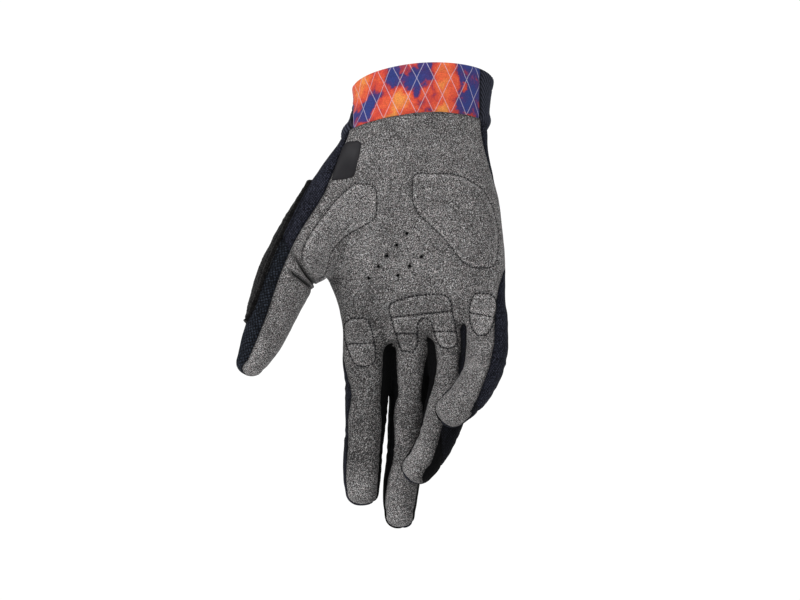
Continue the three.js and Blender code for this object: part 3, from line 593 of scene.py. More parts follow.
seeds = seam_seeds(skin_points, skin_measures, skin_faces)
hole_seeds = []
for x, z in perforations:
    near = (np.hypot(skin_points[:, 0] - x, skin_points[:, 2] - z) < 2.2) & (skin_points[:, 1] < 2)
    hole_seeds.append(skin_points[near])
hole_seeds = np.vstack(hole_seeds)
for finest in (0.62, 0.45):
    from_seam = distance_to(skin_points, seeds, 9)
    from_hole = distance_to(skin_points, hole_seeds, 9)
    wanted = np.where(from_seam < 0.95, finest, 9)
    past, down = past_thumb_seam(skin_points)
    folded = (past > -2.5) & (past < 8) & (down > -7) & (down < 15) & (skin_measures[:, 2] > -1.5)
    folded &= np.linalg.norm(skin_points - thumb_seam_at, axis=1) < 22
    wanted = np.where(folded, np.minimum(wanted, finest), wanted)
    wanted = np.where(from_hole < 0.6, finest * 0.6, wanted)
    skin_points, skin_measures, skin_faces = finer_near(skin_points, skin_measures, skin_faces, wanted)
skin_measures = np.hstack([skin_measures, hole_measure(skin_points)[:, None]])
skin_points, skin_measures, skin_faces = cut_along(skin_points, skin_measures, skin_faces, 6, 0.03)
used = np.unique(skin_faces)
renumber = np.full(len(skin_points), -1)
renumber[used] = np.arange(len(used))
skin_points, skin_measures, skin_faces = skin_points[used], skin_measures[used], renumber[skin_faces]

# The padded patches' outlines, because the palm dips along them where they are sewn down: for each patch the
# two ends of every rib across it, in x and level.
patch_ribs = {
    "thenar_pad": [
        (-34.5, -52.8, -27, -53.2), (-39.2, -56.3, -23.8, -56.6), (-45.1, -62.1, -23.4, -63.3),
        (-50.3, -68.6, -24.5, -70.4), (-54.9, -74.8, -31, -75), (-58.6, -80.3, -38.8, -79.4),
        (-61, -85.5, -44.9, -85.4), (-61.9, -90, -47.4, -90.2), (-61, -94.6, -48.6, -95),
        (-59, -98, -49.6, -98.2), (-57, -100.4, -51, -100.4), (-55.4, -101.6, -53, -101.6),
    ],
    "hypothenar_pad": [
        (-2.6, -47.4, 14, -47.6), (-4.7, -49.4, 22, -50), (-5.3, -54.5, 30.3, -55.3),
        (-5.2, -61.6, 35.1, -62.7), (-2.6, -67.9, 37.2, -69), (3.8, -74, 38.9, -76.1),
        (10.3, -80.4, 39.2, -82.5), (16, -87.4, 38.6, -89.4), (20.7, -93, 37.2, -94.4),
        (25.8, -95.9, 34.2, -96.1),
    ],
    "index_pad": [
        (-36.6, -121.9, -29.6, -121.9), (-39.9, -124.6, -27.1, -124.8), (-40.3, -129.4, -25.6, -130.2),
        (-39.3, -135.2, -24.4, -136), (-37.3, -140.6, -24, -141), (-35.1, -145, -25.2, -145.2),
        (-32.9, -146.6, -29.2, -146.8),
    ],
    "finger_pad": [
        (-10.8, -138.5, -5.1, -139.6), (-12.3, -134.7, -2.7, -135.2), (-13.7, -130.6, -2.7, -130.6),
        (-15.7, -123.5, -2.4, -124.9), (-17.2, -116.7, -1.5, -123.1), (-14.5, -113.5, -0.9, -122.6),
        (-6.2, -110.8, 0.3, -122.1), (3.9, -109.6, 2.3, -122.2), (11.1, -109.9, 3.6, -123.1),
        (14.3, -113.3, 4.5, -124.6), (15.9, -121.3, 5.2, -126.4), (17.7, -130.6, 6.7, -131.8),
        (17.9, -134.7, 8.5, -135.4), (15.7, -137.3, 11.3, -137.6),
    ],
    "little_pad": [
        (27.2, -109.2, 34.2, -109.2), (25.2, -112.2, 37.2, -111.8), (24.2, -117, 38, -116.2),
        (24.4, -122.8, 36.8, -122), (25.8, -127.8, 35.2, -127.5), (28.4, -130.8, 32.4, -130.8),
    ],
}


def patch_outline(ribs, steps=90):
    """The closed outline through the ends of the ribs, in x and level."""
    read = along(ribs, np.linspace(0, 1, steps))
    first = read[0, :2] + (read[0, 2:] - read[0, :2]) * np.linspace(0, 1, 12)[1:-1, None]
    last = read[-1, 2:] + (read[-1, :2] - read[-1, 2:]) * np.linspace(0, 1, 12)[1:-1, None]
    return np.vstack([first, read[:, 2:], last, read[::-1, :2]])


def depth_inside(outline, x, z):
    """How far each place lies inside an outline: less than nothing outside it."""
    depth = np.full(len(x), -99.0)
    low, high = outline.min(0) - 6, outline.max(0) + 6
    near = np.flatnonzero((x > low[0]) & (x < high[0]) & (z > low[1]) & (z < high[1]))
    px, pz = x[near][:, None], z[near][:, None]
    a, b = outline, np.roll(outline, -1, 0)
    sx, sz = (b - a).T
    share = ((px - a[:, 0]) * sx + (pz - a[:, 1]) * sz) / np.maximum(sx * sx + sz * sz, 1e-9)
    share = np.clip(share, 0, 1)
    far = np.hypot(a[:, 0] + share * sx - px, a[:, 1] + share * sz - pz).min(1)
    rises = (a[:, 1] > pz) != (b[:, 1] > pz)
    with np.errstate(divide="ignore", invalid="ignore"):
        crosses = rises & (px < a[:, 0] + sx * (pz - a[:, 1]) / np.where(sz == 0, 1e-9, sz))
    depth[near] = np.where(crosses.sum(1) % 2 == 1, far, -far)
    return depth


def skin_normals(points, faces, rounds=0):
    a, b, c = points[faces[:, 0]], points[faces[:, 1]], points[faces[:, 2]]
    across = np.cross(b - a, c - a)
    sums = [np.bincount(faces.ravel(), np.repeat(across[:, k], 3), len(points)) for k in range(3)]
    normal = unit(np.stack(sums, 1))
    if rounds:
        edges, _ = edges_of(faces, len(points))
        normal = unit(spread_evenly(normal, edges, rounds, 0.6, 0))
    return normal


def lumps(points, size, seed):
    """Soft unevenness of about a size, from -1 to 1 and the same on every run."""
    random = np.random.default_rng(seed)
    total = np.zeros(len(points))
    for _ in range(14):
        way = unit(random.normal(size=3))
        turns = points @ way * (2 * np.pi / (size * random.uniform(0.8, 1.9)))
        total += np.sin(turns + random.uniform(0, 6.28))
    return total / 5


normals = skin_normals(skin_points, skin_faces, 5)
facing_palm = (normals[:, 1] < 0.1) & (skin_measures[:, 2] > -0.5)
in_patch = np.full(len(skin_points), -99.0)
for ribs in patch_ribs.values():
    depth = depth_inside(patch_outline(ribs), skin_points[:, 0], skin_points[:, 2])
    in_patch = np.maximum(in_patch, np.where(facing_palm, depth, -99))
seeds = seam_seeds(skin_points, skin_measures, skin_faces)
from_seam = distance_to(skin_points, seeds, 9)

# How the cloth lies: it stands a little full between its seams and dips into them, it is uneven as worn cloth
# is, it creases where the fingers bend, and it folds over at the thumb's base.
groove = np.interp(-skin_points[:, 2], [118, 136], [0.6, 0.3])
rise = 0.32 * (1 - bell(from_seam, 2.6)) - groove * bell(from_seam, 0.6)
rise += 0.26 * lumps(skin_points, 24, 3) + 0.1 * lumps(skin_points, 8, 5)
rise -= 0.55 * ease(in_patch / 0.8 + 0.5) + 0.35 * bell(in_patch + 0.25, 0.65)
bends = {"index": (-164, -190), "middle": (-163, -193), "ring": (-156, -182), "little": (-141, -158)}
for name, levels in bends.items():
    w = digit_place(name, skin_points)
    ours = ease((1.25 - w["out"]) / 0.2) * ease((-132 - skin_points[:, 2]) / 8)
    lean = skin_points[:, 2] + 0.55 * w["side"]
    for level in levels:
        fold = bell(lean - level, 7.5) * np.cos((lean - level) * 2 * np.pi / 5.2)
        rise += 0.24 * fold * ours * (0.6 + 0.6 * lumps(skin_points, 10, 11))
thumb_where = digit_place("thumb", skin_points)
thumb_near = ease((1.6 - thumb_where["out"]) / 0.35) * ease(skin_measures[:, 2] / 2 + 0.5)
past, down = past_thumb_seam(skin_points)
edge_on = 1 - 0.65 * ease((down - 8) / 3)  # at the edge of the thumb the folds flatten out
overlap = thumb_near * ease((down + 8) / 8) * edge_on
second = np.interp(down, [-2.7, 0.8, 4.2, 6.9, 9.3, 10.9], [6.3, 5.5, 4.1, 3.4, 3.0, 3.2]) - 0.3
deep = thumb_near * ease((down + 6) / 7) * edge_on
lap = np.where(past < 0, bell(past + 1, 2.4), bell(1, 2.4) * bell(past, 0.4))
rise += overlap * 1.5 * lap
rise -= overlap * bell(past - 0.3, 0.55)
rise += deep * 1.1 * bell(past - 0.5 * second - 0.2, 1.1)
rise -= deep * 1.5 * bell(past - second, 0.75)
rise += deep * 0.7 * bell(past - second - 2.6, 1.7)
corner = np.linalg.norm(skin_points - np.array([-56.5, -1.5, -106.3]), axis=1)
rise += 1.2 * bell(corner, 3.2) * ease(past / 0.6)
# Painted shade: a measure from 0 to 1 of how much the cloth's colour is darkened in the thumb's folds and along
# the puckers below.
crease_shade = overlap * bell(past - 0.25, 0.5) + 0.85 * deep * bell(past - second, 0.75)
crease_shade += 0.3 * deep * bell(past - second, 2.2)
for level, first, last in ((-101.6, -50, -37.5), (-103.3, -50, -40)):
    pucker = bell(skin_points[:, 2] - level - 0.1 * (skin_points[:, 0] + 44), 0.4) * (normals[:, 1] < 0.3)
    pucker *= ease((skin_points[:, 0] - first) / 2) * ease((last - skin_points[:, 0]) / 3)
    pucker *= ease((1.2 - hand_place(skin_points)[2]) / 0.1)
    rise -= 0.45 * pucker
    crease_shade += 0.6 * pucker

# Beside the wipe the cloth dips into a crevice, which painted shade darkens. The grey cloth is darker over the
# lower palm and the finger shafts, partly stretched cloth and partly painted shade, and painted shade darkens
# three fingers towards one side.
wipe_top, wipe_bottom = -58.5, -128.5
wipe_near, wipe_far = -87, -196  # degrees round the thumb
thumb_row = thumb_where["row"]
thumb_side, thumb_front = thumb_where["side"] / thumb_row[:, 3], thumb_where["front"] / thumb_row[:, 4]
wipe_angle = np.degrees(np.arctan2(thumb_side, thumb_front))


def wipe_taper(share):
    return np.sin((0.04 + 0.87 * np.clip(share, 0, 1)) * np.pi) ** 0.45


wipe_middle, wipe_spread = (wipe_near + wipe_far) / 2, (wipe_near - wipe_far) / 2
wipe_share = (wipe_top - thumb_row[:, 2]) / (wipe_top - wipe_bottom)
wipe_edge = wipe_middle + wipe_spread * wipe_taper(wipe_share)
from_wipe = np.radians(wipe_angle - wipe_edge) * thumb_row[:, 3]
# Painted shade: the cloth's colour is darkened in the crevice beside the wipe, by the measure made here.
beside = bell(from_wipe - 0.7, 0.6) * ease(wipe_share / 0.06) * ease((1 - wipe_share) / 0.06)
beside *= (thumb_where["out"] < 1.4) & (skin_measures[:, 2] < 0)
rise -= 0.4 * beside
crease_shade = np.clip(crease_shade + 0.9 * beside, 0, 1)

stretch_and_shade_by_digit = {
    "index": ([0, 0.25, 0.8, 0.93, 1], [-0.36, -0.38, -0.35, 0.02, 0.12]),
    "middle": ([0, 0.15, 0.39, 0.6, 0.85, 1], [-0.16, -0.06, -0.12, -0.1, 0.06, 0.1]),
    "ring": ([0, 0.25, 0.45, 0.6, 0.9, 1], [-0.2, -0.14, -0.1, -0.05, 0.08, 0.1]),
    "little": ([0, 0.25, 0.7, 1], [0, 0, -0.03, 0]),
    "thumb": ([0, 0.5, 0.8, 1], [0, -0.04, 0.05, 0.15]),
}
side_shaded_digits = ("index", "middle", "ring")
# The palm's tone by level and each digit's tone along it are partly stretched cloth and partly painted shade
# and light.
by_index = np.interp(-skin_points[:, 2], [85, 97, 107, 114, 121, 130], [0, 0.04, -0.06, -0.28, -0.4, -0.4])
by_ring = np.interp(-skin_points[:, 2], [85, 100, 107, 114, 130], [0, 0, 0.06, 0, -0.06])
tone = by_index + (by_ring - by_index) * ease((skin_points[:, 0] + 24) / 10)
# Painted shade round each perforation: the cloth is darkened at the hole's edge.
tone -= 0.5 * bell(np.maximum(hole_measure(skin_points), 0), 0.5)
for name, (at, shade) in stretch_and_shade_by_digit.items():
    w = thumb_where if name == "thumb" else digit_place(name, skin_points)
    ours = ease((1.3 - w["out"]) / 0.25)
    ours *= ease(past / 4) if name == "thumb" else ease((-118 - skin_points[:, 2]) / 16)
    # Painted shade: the index, middle and ring fingers are darkened towards one side, where they turn away from
    # the light.
    side_shade = 0.42 * ease((w["side"] / w["row"][:, 3] - 0.05) / 0.95) if name in side_shaded_digits else 0
    own_tone = (1 + np.interp(w["place"], at, shade)) * (1 - side_shade) - 1
    tone = tone * (1 - ours) + own_tone * ours
cloth_points = skin_points + normals * rise[:, None]
skin_tree = BVHTree.FromPolygons(skin_points.tolist(), skin_faces.tolist())


def skin_at(origin, way):
    """The place where a line first meets the smooth skin, and the way that the skin faces there."""
    hit, _, face, _ = skin_tree.ray_cast(Vector(origin), Vector(way))
    if hit is None:
        hit, _, face, _ = skin_tree.find_nearest(Vector(origin))
    corners = skin_faces[face]
    near = 1 / np.maximum(np.linalg.norm(skin_points[corners] - np.array(hit), axis=1), 1e-3)
    return np.array(hit), unit((normals[corners] * near[:, None]).sum(0))


def float_attribute(mesh, name, values):
    mesh.attributes.new(name, "FLOAT", "POINT").data.foreach_set("value", np.asarray(values, np.float32))


def piece_of(name, mesh, material, smooth=True):
    piece = bpy.data.objects.new(name, mesh)
    bpy.context.scene.collection.objects.link(piece)
    mesh.materials.clear()
    mesh.materials.append(material)
    mesh.polygons.foreach_set("use_smooth", np.full(len(mesh.polygons), smooth))
    mesh.polygons.foreach_set("material_index", np.zeros(len(mesh.polygons), np.int32))
    return piece


lining_under = 1.15  # how far the inside of the cloth lies below the skin


def panel(name, chosen, material):
    """A cloth panel with its lining's side and its cut edges, from the chosen triangles of the skin."""
    faces = skin_faces[chosen]
    used = np.unique(faces)
    index = np.full(len(skin_points), -1)
    index[used] = np.arange(len(used))
    faces = index[faces]
    n = len(used)
    under = lining_under + 0.12 * lumps(skin_points[used], 14, 9)
    points = np.vstack([cloth_points[used], skin_points[used] - normals[used] * under[:, None]])
    pairs = np.stack([faces, np.roll(faces, -1, 1)], 2).reshape(-1, 2)
    keys = pairs[:, 0] * n + pairs[:, 1]
    rim = pairs[~np.isin(keys, pairs[:, 1] * n + pairs[:, 0])]
    a, b = rim.T
    walls = np.vstack([np.stack([b, a, a + n], 1), np.stack([b, a + n, b + n], 1)])
    mesh = mesh_of(name, points, np.vstack([faces, faces[:, ::-1] + n, walls]))
    float_attribute(mesh, "from_seam", np.tile(from_seam[used], 2) * 0.001)
    float_attribute(mesh, "lining", np.repeat([0.0, 1.0], n))
    float_attribute(mesh, "crease_shade", np.tile(crease_shade[used], 2))
    float_attribute(mesh, "tone", np.tile(tone[used], 2))
    edges = np.zeros(len(mesh.edges) * 2, np.int32)
    mesh.edges.foreach_get("vertices", edges)
    ends = np.sort(edges.reshape(-1, 2), 1)
    rims = np.sort(rim, 1)
    sharp_keys = np.concatenate([rims[:, 0] * 2 * n + rims[:, 1], (rims[:, 0] + n) * 2 * n + rims[:, 1] + n])
    sharp = np.isin(ends[:, 0].astype(np.int64) * 2 * n + ends[:, 1], sharp_keys)
    mesh.attributes.new("sharp_edge", "BOOLEAN", "EDGE").data.foreach_set("value", sharp)
    return piece_of(name, mesh, material)


# The palm is one layer of heathered grey suede-like microfibre from the heel of the hand to the fronts of the
# four fingers. It is cut to shape, punched with eight small holes, and sewn to the back and the gussets.


def put(tree, kind, sockets=None, **settings):
    """A new node with its settings, and a value or a link for each socket named."""
    node = tree.nodes.new(kind)
    for key, value in settings.items():
        setattr(node, key, value)
    for key, value in (sockets or {}).items():
        if isinstance(value, bpy.types.NodeSocket):
            tree.links.new(value, node.inputs[key])
        else:
            node.inputs[key].default_value = value
    return node


def maths(tree, operation, a, b=0.0, c=0.0, clamp=False):
    return put(tree, "ShaderNodeMath", {0: a, 1: b, 2: c}, operation=operation, use_clamp=clamp).outputs[0]


def blended(tree, share, a, b):
    """A colour between two, by a share from 0 to 1."""
    node = put(tree, "ShaderNodeMix", {0: share, 6: a, 7: b}, data_type="RGBA")
    return node.outputs[2]


def multiplied(tree, a, b):
    """A colour times another, or times a value."""
    node = put(tree, "ShaderNodeMix", {0: 1.0, 6: a, 7: b}, data_type="RGBA", blend_type="MULTIPLY")
    return node.outputs[2]


def noise(tree, place, scale, detail, roughness=0.5):
    sockets = {"Vector": place, "Scale": scale, "Detail": detail, "Roughness": roughness}
    return put(tree, "ShaderNodeTexNoise", sockets).outputs[0]


def ranged(tree, value, first, last, to_first=0.0, to_last=1.0):
    """A value brought from one range to another, and kept inside it."""
    sockets = {0: value, 1: first, 2: last, 3: to_first, 4: to_last}
    return put(tree, "ShaderNodeMapRange", sockets).outputs[0]


def attribute(tree, name):
    return put(tree, "ShaderNodeAttribute", attribute_name=name).outputs["Fac"]


def new_group(name, takes, gives):
    """A shader group with named inputs, (kind, value) each, and named outputs."""
    group = bpy.data.node_groups.new(name, "ShaderNodeTree")
    for key, (kind, value) in takes.items():
        socket = group.interface.new_socket(key, in_out="INPUT", socket_type=f"NodeSocket{kind}")
        if value is not None:
            socket.default_value = value
    for key, kind in gives.items():
        group.interface.new_socket(key, in_out="OUTPUT", socket_type=f"NodeSocket{kind}")
    return group, put(group, "NodeGroupInput").outputs, put(group, "NodeGroupOutput").inputs


def steps_of(tree, value, stops, interpolation="LINEAR"):
    """A colour ramp through stops of (place, colour)."""
    node = put(tree, "ShaderNodeValToRGB", {0: value})
    ramp = node.color_ramp
    ramp.interpolation = interpolation
    while len(ramp.elements) < len(stops):
        ramp.elements.new(0.5)
    for element, (place, colour) in zip(ramp.elements, stops):
        element.position = place
        element.color = (*colour, 1) if len(colour) == 3 else colour
    return node.outputs[0]


def grey(v):
    return (v, v, v, 1)


# Brushed yarn of several greys: fine grains, flecks, and slanting streaks where the cloth is pulled.
heather, taken, given = new_group(
    "heathered yarn",
    {
        "Place": ("Vector", None),
        "Grain": ("Float", 1200.0),
        "Streak": ("Float", 0.3),
        "Dark": ("Color", grey(0.05)),
        "Middle": ("Color", grey(0.12)),
        "Pale": ("Color", grey(0.3)),
    },
    {"Color": "Color", "Height": "Float"},
)
grains = noise(heather, taken["Place"], taken["Grain"], 2.5, 0.62)
slanted = put(
    heather,
    "ShaderNodeMapping",
    {"Vector": taken["Place"], "Rotation": (0, math.radians(-40), 0), "Scale": (2.4, 1.5, 0.85)},
    vector_type="TEXTURE",
)
streaks = noise(heather, slanted.outputs[0], taken["Grain"], 2.0, 0.55)
mixed = put(heather, "ShaderNodeMix", {0: taken["Streak"], 2: grains, 3: streaks}, data_type="FLOAT")
patches = noise(heather, taken["Place"], 90.0, 3.0)
pushed = maths(heather, "MULTIPLY_ADD", maths(heather, "SUBTRACT", patches, 0.5), 0.07, mixed.outputs[0])
ground = blended(heather, ranged(heather, pushed, 0.41, 0.51), taken["Dark"], taken["Middle"])
lit = blended(heather, ranged(heather, pushed, 0.52, 0.61), ground, taken["Pale"])
tint = noise(heather, taken["Place"], 700.0, 1.0)
hue = steps_of(heather, tint, [(0.38, (1.0, 0.965, 0.97)), (0.5, (1, 1, 1)), (0.62, (0.965, 0.99, 1.0))])
fuzz = noise(heather, taken["Place"], 2600.0, 2.0)
heather.links.new(multiplied(heather, lit, hue), given["Color"])
heather.links.new(maths(heather, "MULTIPLY_ADD", fuzz, 0.5, pushed), given["Height"])

# A soft mask that is 1 in a seam and fades over a width, where painted shade and a little dirt darken the
# cloth.
seam_shade, taken, given = new_group("seam shade", {"Width": ("Float", 0.0012)}, {"Mask": "Float"})
share = maths(seam_shade, "DIVIDE", attribute(seam_shade, "from_seam"), taken["Width"])
less = maths(seam_shade, "MULTIPLY", maths(seam_shade, "MULTIPLY", share, share), -1.0)
seam_shade.links.new(maths(seam_shade, "POWER", 2.718, less), given["Mask"])


def cloth_material(name, roughness, sheen, sheen_tint=(1, 1, 1, 1), gloss=0.25):
    """A fabric material, its tree, its shader and the object's own coordinates."""
    material = bpy.data.materials.new(name)
    material.use_nodes = True
    tree = material.node_tree
    shader = tree.nodes["Principled BSDF"]
    shader.inputs["Roughness"].default_value = roughness
    shader.inputs["Sheen Weight"].default_value = sheen
    shader.inputs["Sheen Roughness"].default_value = 0.45
    shader.inputs["Sheen Tint"].default_value = sheen_tint
    shader.inputs["Specular IOR Level"].default_value = gloss
    return material, tree, shader, put(tree, "ShaderNodeTexCoord").outputs["Object"]


plain_lining = (0.008, 0.0085, 0.0105, 1)


def finish_cloth(tree, shader, colour, height, distance, strength, lining=plain_lining, seam_shade_and_dirt=0.55):
    """Paints shade and dirt into seams, shade into creases, scales by tone, colours the lining, raises the
    surface by height.
    """
    shade = put(tree, "ShaderNodeGroup", node_tree=seam_shade)
    shade.inputs["Width"].default_value = 0.0011
    darker = maths(tree, "MULTIPLY_ADD", shade.outputs["Mask"], -seam_shade_and_dirt, 1.0)
    # Painted shade: the colour is darkened by the crease measure, in the thumb's folds, the puckers and beside
    # the wipe.
    unfolded = maths(tree, "MULTIPLY_ADD", attribute(tree, "crease_shade"), -0.9, 1.0)
    darker = maths(tree, "MULTIPLY", darker, unfolded)
    darker = maths(tree, "MULTIPLY", darker, maths(tree, "ADD", attribute(tree, "tone"), 1.0))
    cloth_colour = blended(tree, attribute(tree, "lining"), multiplied(tree, colour, darker), lining)
    tree.links.new(cloth_colour, shader.inputs["Base Color"])
    bump = put(tree, "ShaderNodeBump", {"Strength": strength, "Distance": distance, "Height": height})
    tree.links.new(bump.outputs[0], shader.inputs["Normal"])


suede, tree, shader, place = cloth_material("heathered suede", 0.95, 0.12, gloss=0.2)
yarn = put(tree, "ShaderNodeGroup", {}, node_tree=heather)
tree.links.new(place, yarn.inputs["Place"])
stretched = maths(tree, "MULTIPLY_ADD", attribute(tree, "tone"), -1.2, 0.2, clamp=True)
tree.links.new(stretched, yarn.inputs["Streak"])
yarn.inputs["Grain"].default_value = 2450.0
yarn.inputs["Dark"].default_value = (0.018, 0.017, 0.017, 1)
yarn.inputs["Middle"].default_value = (0.072, 0.069, 0.069, 1)
yarn.inputs["Pale"].default_value = (0.53, 0.515, 0.51, 1)
finish_cloth(tree, shader, yarn.outputs["Color"], yarn.outputs["Height"], 0.00035, 0.7)

region = region_of(skin_measures, skin_faces)
open_hole = skin_measures[skin_faces, 6].mean(1) < 0
palm_panel = panel("palm_suede", (region == 0) & ~open_hole, suede)
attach(palm_panel, "root")
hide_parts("palm_panel")

# The thumb's front is a grey panel of its own, sewn on at the fold where the thumb leaves the palm.
thumb_front = panel("thumb_suede", region == 2, suede)
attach(thumb_front, "root")
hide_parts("thumb_front")

# The back is navy stretch knit over the back of the hand, the backs of the fingers and the outer sides of the
# index and little fingers. The thumb's back is a piece of the same knit.

# Stretch knit: a fine slanting grid of stitches with dark gaps, laid on the sides that the cloth faces.
knit_grid, taken, given = new_group(
    "knit grid",
    {
        "Place": ("Vector", None),
        "Facing": ("Vector", None),
        "Pitch": ("Float", 0.00115),
        "Lean": ("Float", 0.6),
    },
    {"Height": "Float", "Gap": "Float"},
)
p = put(knit_grid, "ShaderNodeSeparateXYZ", {0: taken["Place"]}).outputs
f = put(knit_grid, "ShaderNodeSeparateXYZ", {0: taken["Facing"]}).outputs
sizes = [maths(knit_grid, "POWER", maths(knit_grid, "ABSOLUTE", f[k]), 4.0) for k in range(3)]
whole = maths(knit_grid, "ADD", maths(knit_grid, "ADD", sizes[0], sizes[1]), sizes[2])
total = None
for k, (one, other) in enumerate([(1, 2), (0, 2), (0, 1)]):
    steep = maths(knit_grid, "MULTIPLY", p[other], taken["Lean"])
    waves = []
    for sign in ("ADD", "SUBTRACT"):
        slant = maths(knit_grid, sign, p[one], steep)
        turns = maths(knit_grid, "MULTIPLY", maths(knit_grid, "DIVIDE", slant, taken["Pitch"]), math.pi)
        waves.append(maths(knit_grid, "ABSOLUTE", maths(knit_grid, "SINE", turns)))
    both = maths(knit_grid, "MULTIPLY", waves[0], waves[1])
    weighed = maths(knit_grid, "MULTIPLY", both, maths(knit_grid, "DIVIDE", sizes[k], whole))
    total = weighed if total is None else maths(knit_grid, "ADD", total, weighed)
knit_grid.links.new(maths(knit_grid, "SQRT", total), given["Height"])
knit_grid.links.new(ranged(knit_grid, total, 0.08, 0.6, 1.0, 0.0), given["Gap"])


def knit_material(name, pitch, lean, yarn_dark, yarn_pale, gap_colour, sheen=0.0, turn=(0, 0, 0)):
    material, tree, shader, place = cloth_material(name, 0.88, sheen, (0.7, 0.75, 1, 1), gloss=0.09)
    facing = put(tree, "ShaderNodeNewGeometry").outputs["Normal"]
    grid = put(tree, "ShaderNodeGroup", node_tree=knit_grid)
    for key, way, kind in (("Place", place, "POINT"), ("Facing", facing, "NORMAL")):
        turned = put(tree, "ShaderNodeMapping", {"Vector": way, "Rotation": turn}, vector_type=kind)
        tree.links.new(turned.outputs[0], grid.inputs[key])
    grid.inputs["Pitch"].default_value = pitch
    grid.inputs["Lean"].default_value = lean
    flecks = noise(tree, place, 1300.0, 1.0)
    wear_and_rim_highlight = noise(tree, place, 60.0, 3.0)
    sharp = maths(tree, "MULTIPLY_ADD", maths(tree, "SUBTRACT", flecks, 0.5), 3.4, 0.12)
    much = maths(tree, "MULTIPLY_ADD", wear_and_rim_highlight, 0.5, sharp, clamp=True)
    colour = blended(tree, grid.outputs["Gap"], blended(tree, much, yarn_dark, yarn_pale), gap_colour)
    height = maths(tree, "MULTIPLY_ADD", flecks, 0.25, grid.outputs["Height"])
    finish_cloth(tree, shader, colour, height, 0.00028, 0.8, seam_shade_and_dirt=0.4)
    return material


navy_knit = knit_material(
    "navy knit",
    0.0013,
    0.8,
    (0.003, 0.0035, 0.007, 1),
    (0.046, 0.05, 0.074, 1),
    (0.0018, 0.0018, 0.003, 1),
    sheen=0.03,
)
back_panel = panel("back_knit", region == 1, navy_knit)
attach(back_panel, "root")
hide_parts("back_panel")

thumb_knit = knit_material(
    "thumb knit",
    0.0021,
    1.0,
    (0.003, 0.004, 0.0065, 1),
    (0.034, 0.042, 0.057, 1),
    (0.001, 0.001, 0.0016, 1),
    sheen=0.02,
    turn=(0, math.radians(-35), math.radians(20)),
)
thumb_back = panel("thumb_knit", region == 3, thumb_knit)
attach(thumb_back, "root")
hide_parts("thumb_back")

# Three black stretch gussets line the facing sides of the fingers and run round the webs between them. The
# one beside the little finger is given a paler copy of the knit, painted light for the light it catches.
gusset_knit = knit_material(
    "gusset stretch",
    0.001,
    0.8,
    (0.001, 0.001, 0.0013, 1),
    (0.006, 0.006, 0.008, 1),
    (0.0004, 0.0004, 0.0005, 1),
)
paler_lit_gusset_knit = knit_material(
    "outer gusset stretch",
    0.0012,
    0.8,
    (0.003, 0.0034, 0.005, 1),
    (0.02, 0.022, 0.031, 1),
    (0.0008, 0.0008, 0.0012, 1),
    sheen=0.01,
)
for k, (one, other) in enumerate(gusset_pairs):
    name = f"{one}_{other}_gusset"
    gusset = panel(f"{one}_{other}_stretch", region == 4 + k, paler_lit_gusset_knit if k == 2 else gusset_knit)
    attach(gusset, "root")
    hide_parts(name)

# The cuff is a short pull-on band. Its palm side is smooth stretch cloth printed with clouds of dye and a
# fine lattice of pale lines. Its upper edge is folded in to make a hem.

print_left, print_right, print_back = -36.2, 29.5, 4
round_from = -3  # the x that lengths round the wrist are counted from
cloth_thickness = 1.35
hem_steps, inner_rows = 5, 12


def cuff_point(angle, height):
    """The place on the wrist at an angle round it and a height from the rim, below which it is negative."""
    rows = along(hand_levels, np.linspace(0, 0.5, 120))
    rings = np.stack([hand_ring(row, angle) for row in rows], 1)  # a line down the wrist for each angle
    heights = rings @ cuff_up
    made = np.empty((len(angle), len(height), 3))
    for i in range(len(angle)):
        order = np.argsort(heights[i])
        for k in range(3):
            made[i, :, k] = np.interp(height, heights[i][order], rings[i, order, k])
    return made


def cuff_lines(columns, height, printed):
    """Places on the band: a column for each step round it from seam to seam, and a row for each height."""
    angle = np.linspace(0, 2 * np.pi, 720, endpoint=False)
    wrist = cuff_point(angle, height)
    made = np.empty((columns, len(height), 3))
    lengths = np.empty(len(height))
    round_it = np.empty((columns, len(height)))
    for k in range(len(height)):
        ring = wrist[:, k]
        within = np.minimum(ring[:, 0] - print_left, print_right - ring[:, 0])
        within = np.minimum(within, print_back - ring[:, 1]) * (1 if printed else -1)
        inside = within > 0
        start = np.flatnonzero(inside & ~np.roll(inside, 1))[0]
        run = np.roll(ring, 1 - start, 0)[: inside.sum() + 2]
        depth = np.roll(within, 1 - start)[: inside.sum() + 2]
        keep = run.copy()
        for end, step in ((0, 1), (-1, -2)):
            keep[end] = run[end] + (run[step] - run[end]) * depth[end] / (depth[end] - depth[step])
        far = np.concatenate([[0], np.cumsum(np.linalg.norm(np.diff(keep, axis=0), axis=1))])
        lengths[k] = far[-1]
        steps = np.linspace(0, far[-1], columns)
        for axis in range(3):
            made[:, k, axis] = np.interp(steps, far, keep[:, axis])
        aside = keep[:, 0] - round_from
        at = np.flatnonzero(aside[:-1] * aside[1:] <= 0)[0]
        round_it[:, k] = steps - far[at] - (far[at + 1] - far[at]) * aside[at] / (aside[at] - aside[at + 1])
    return made, lengths.mean(), round_it


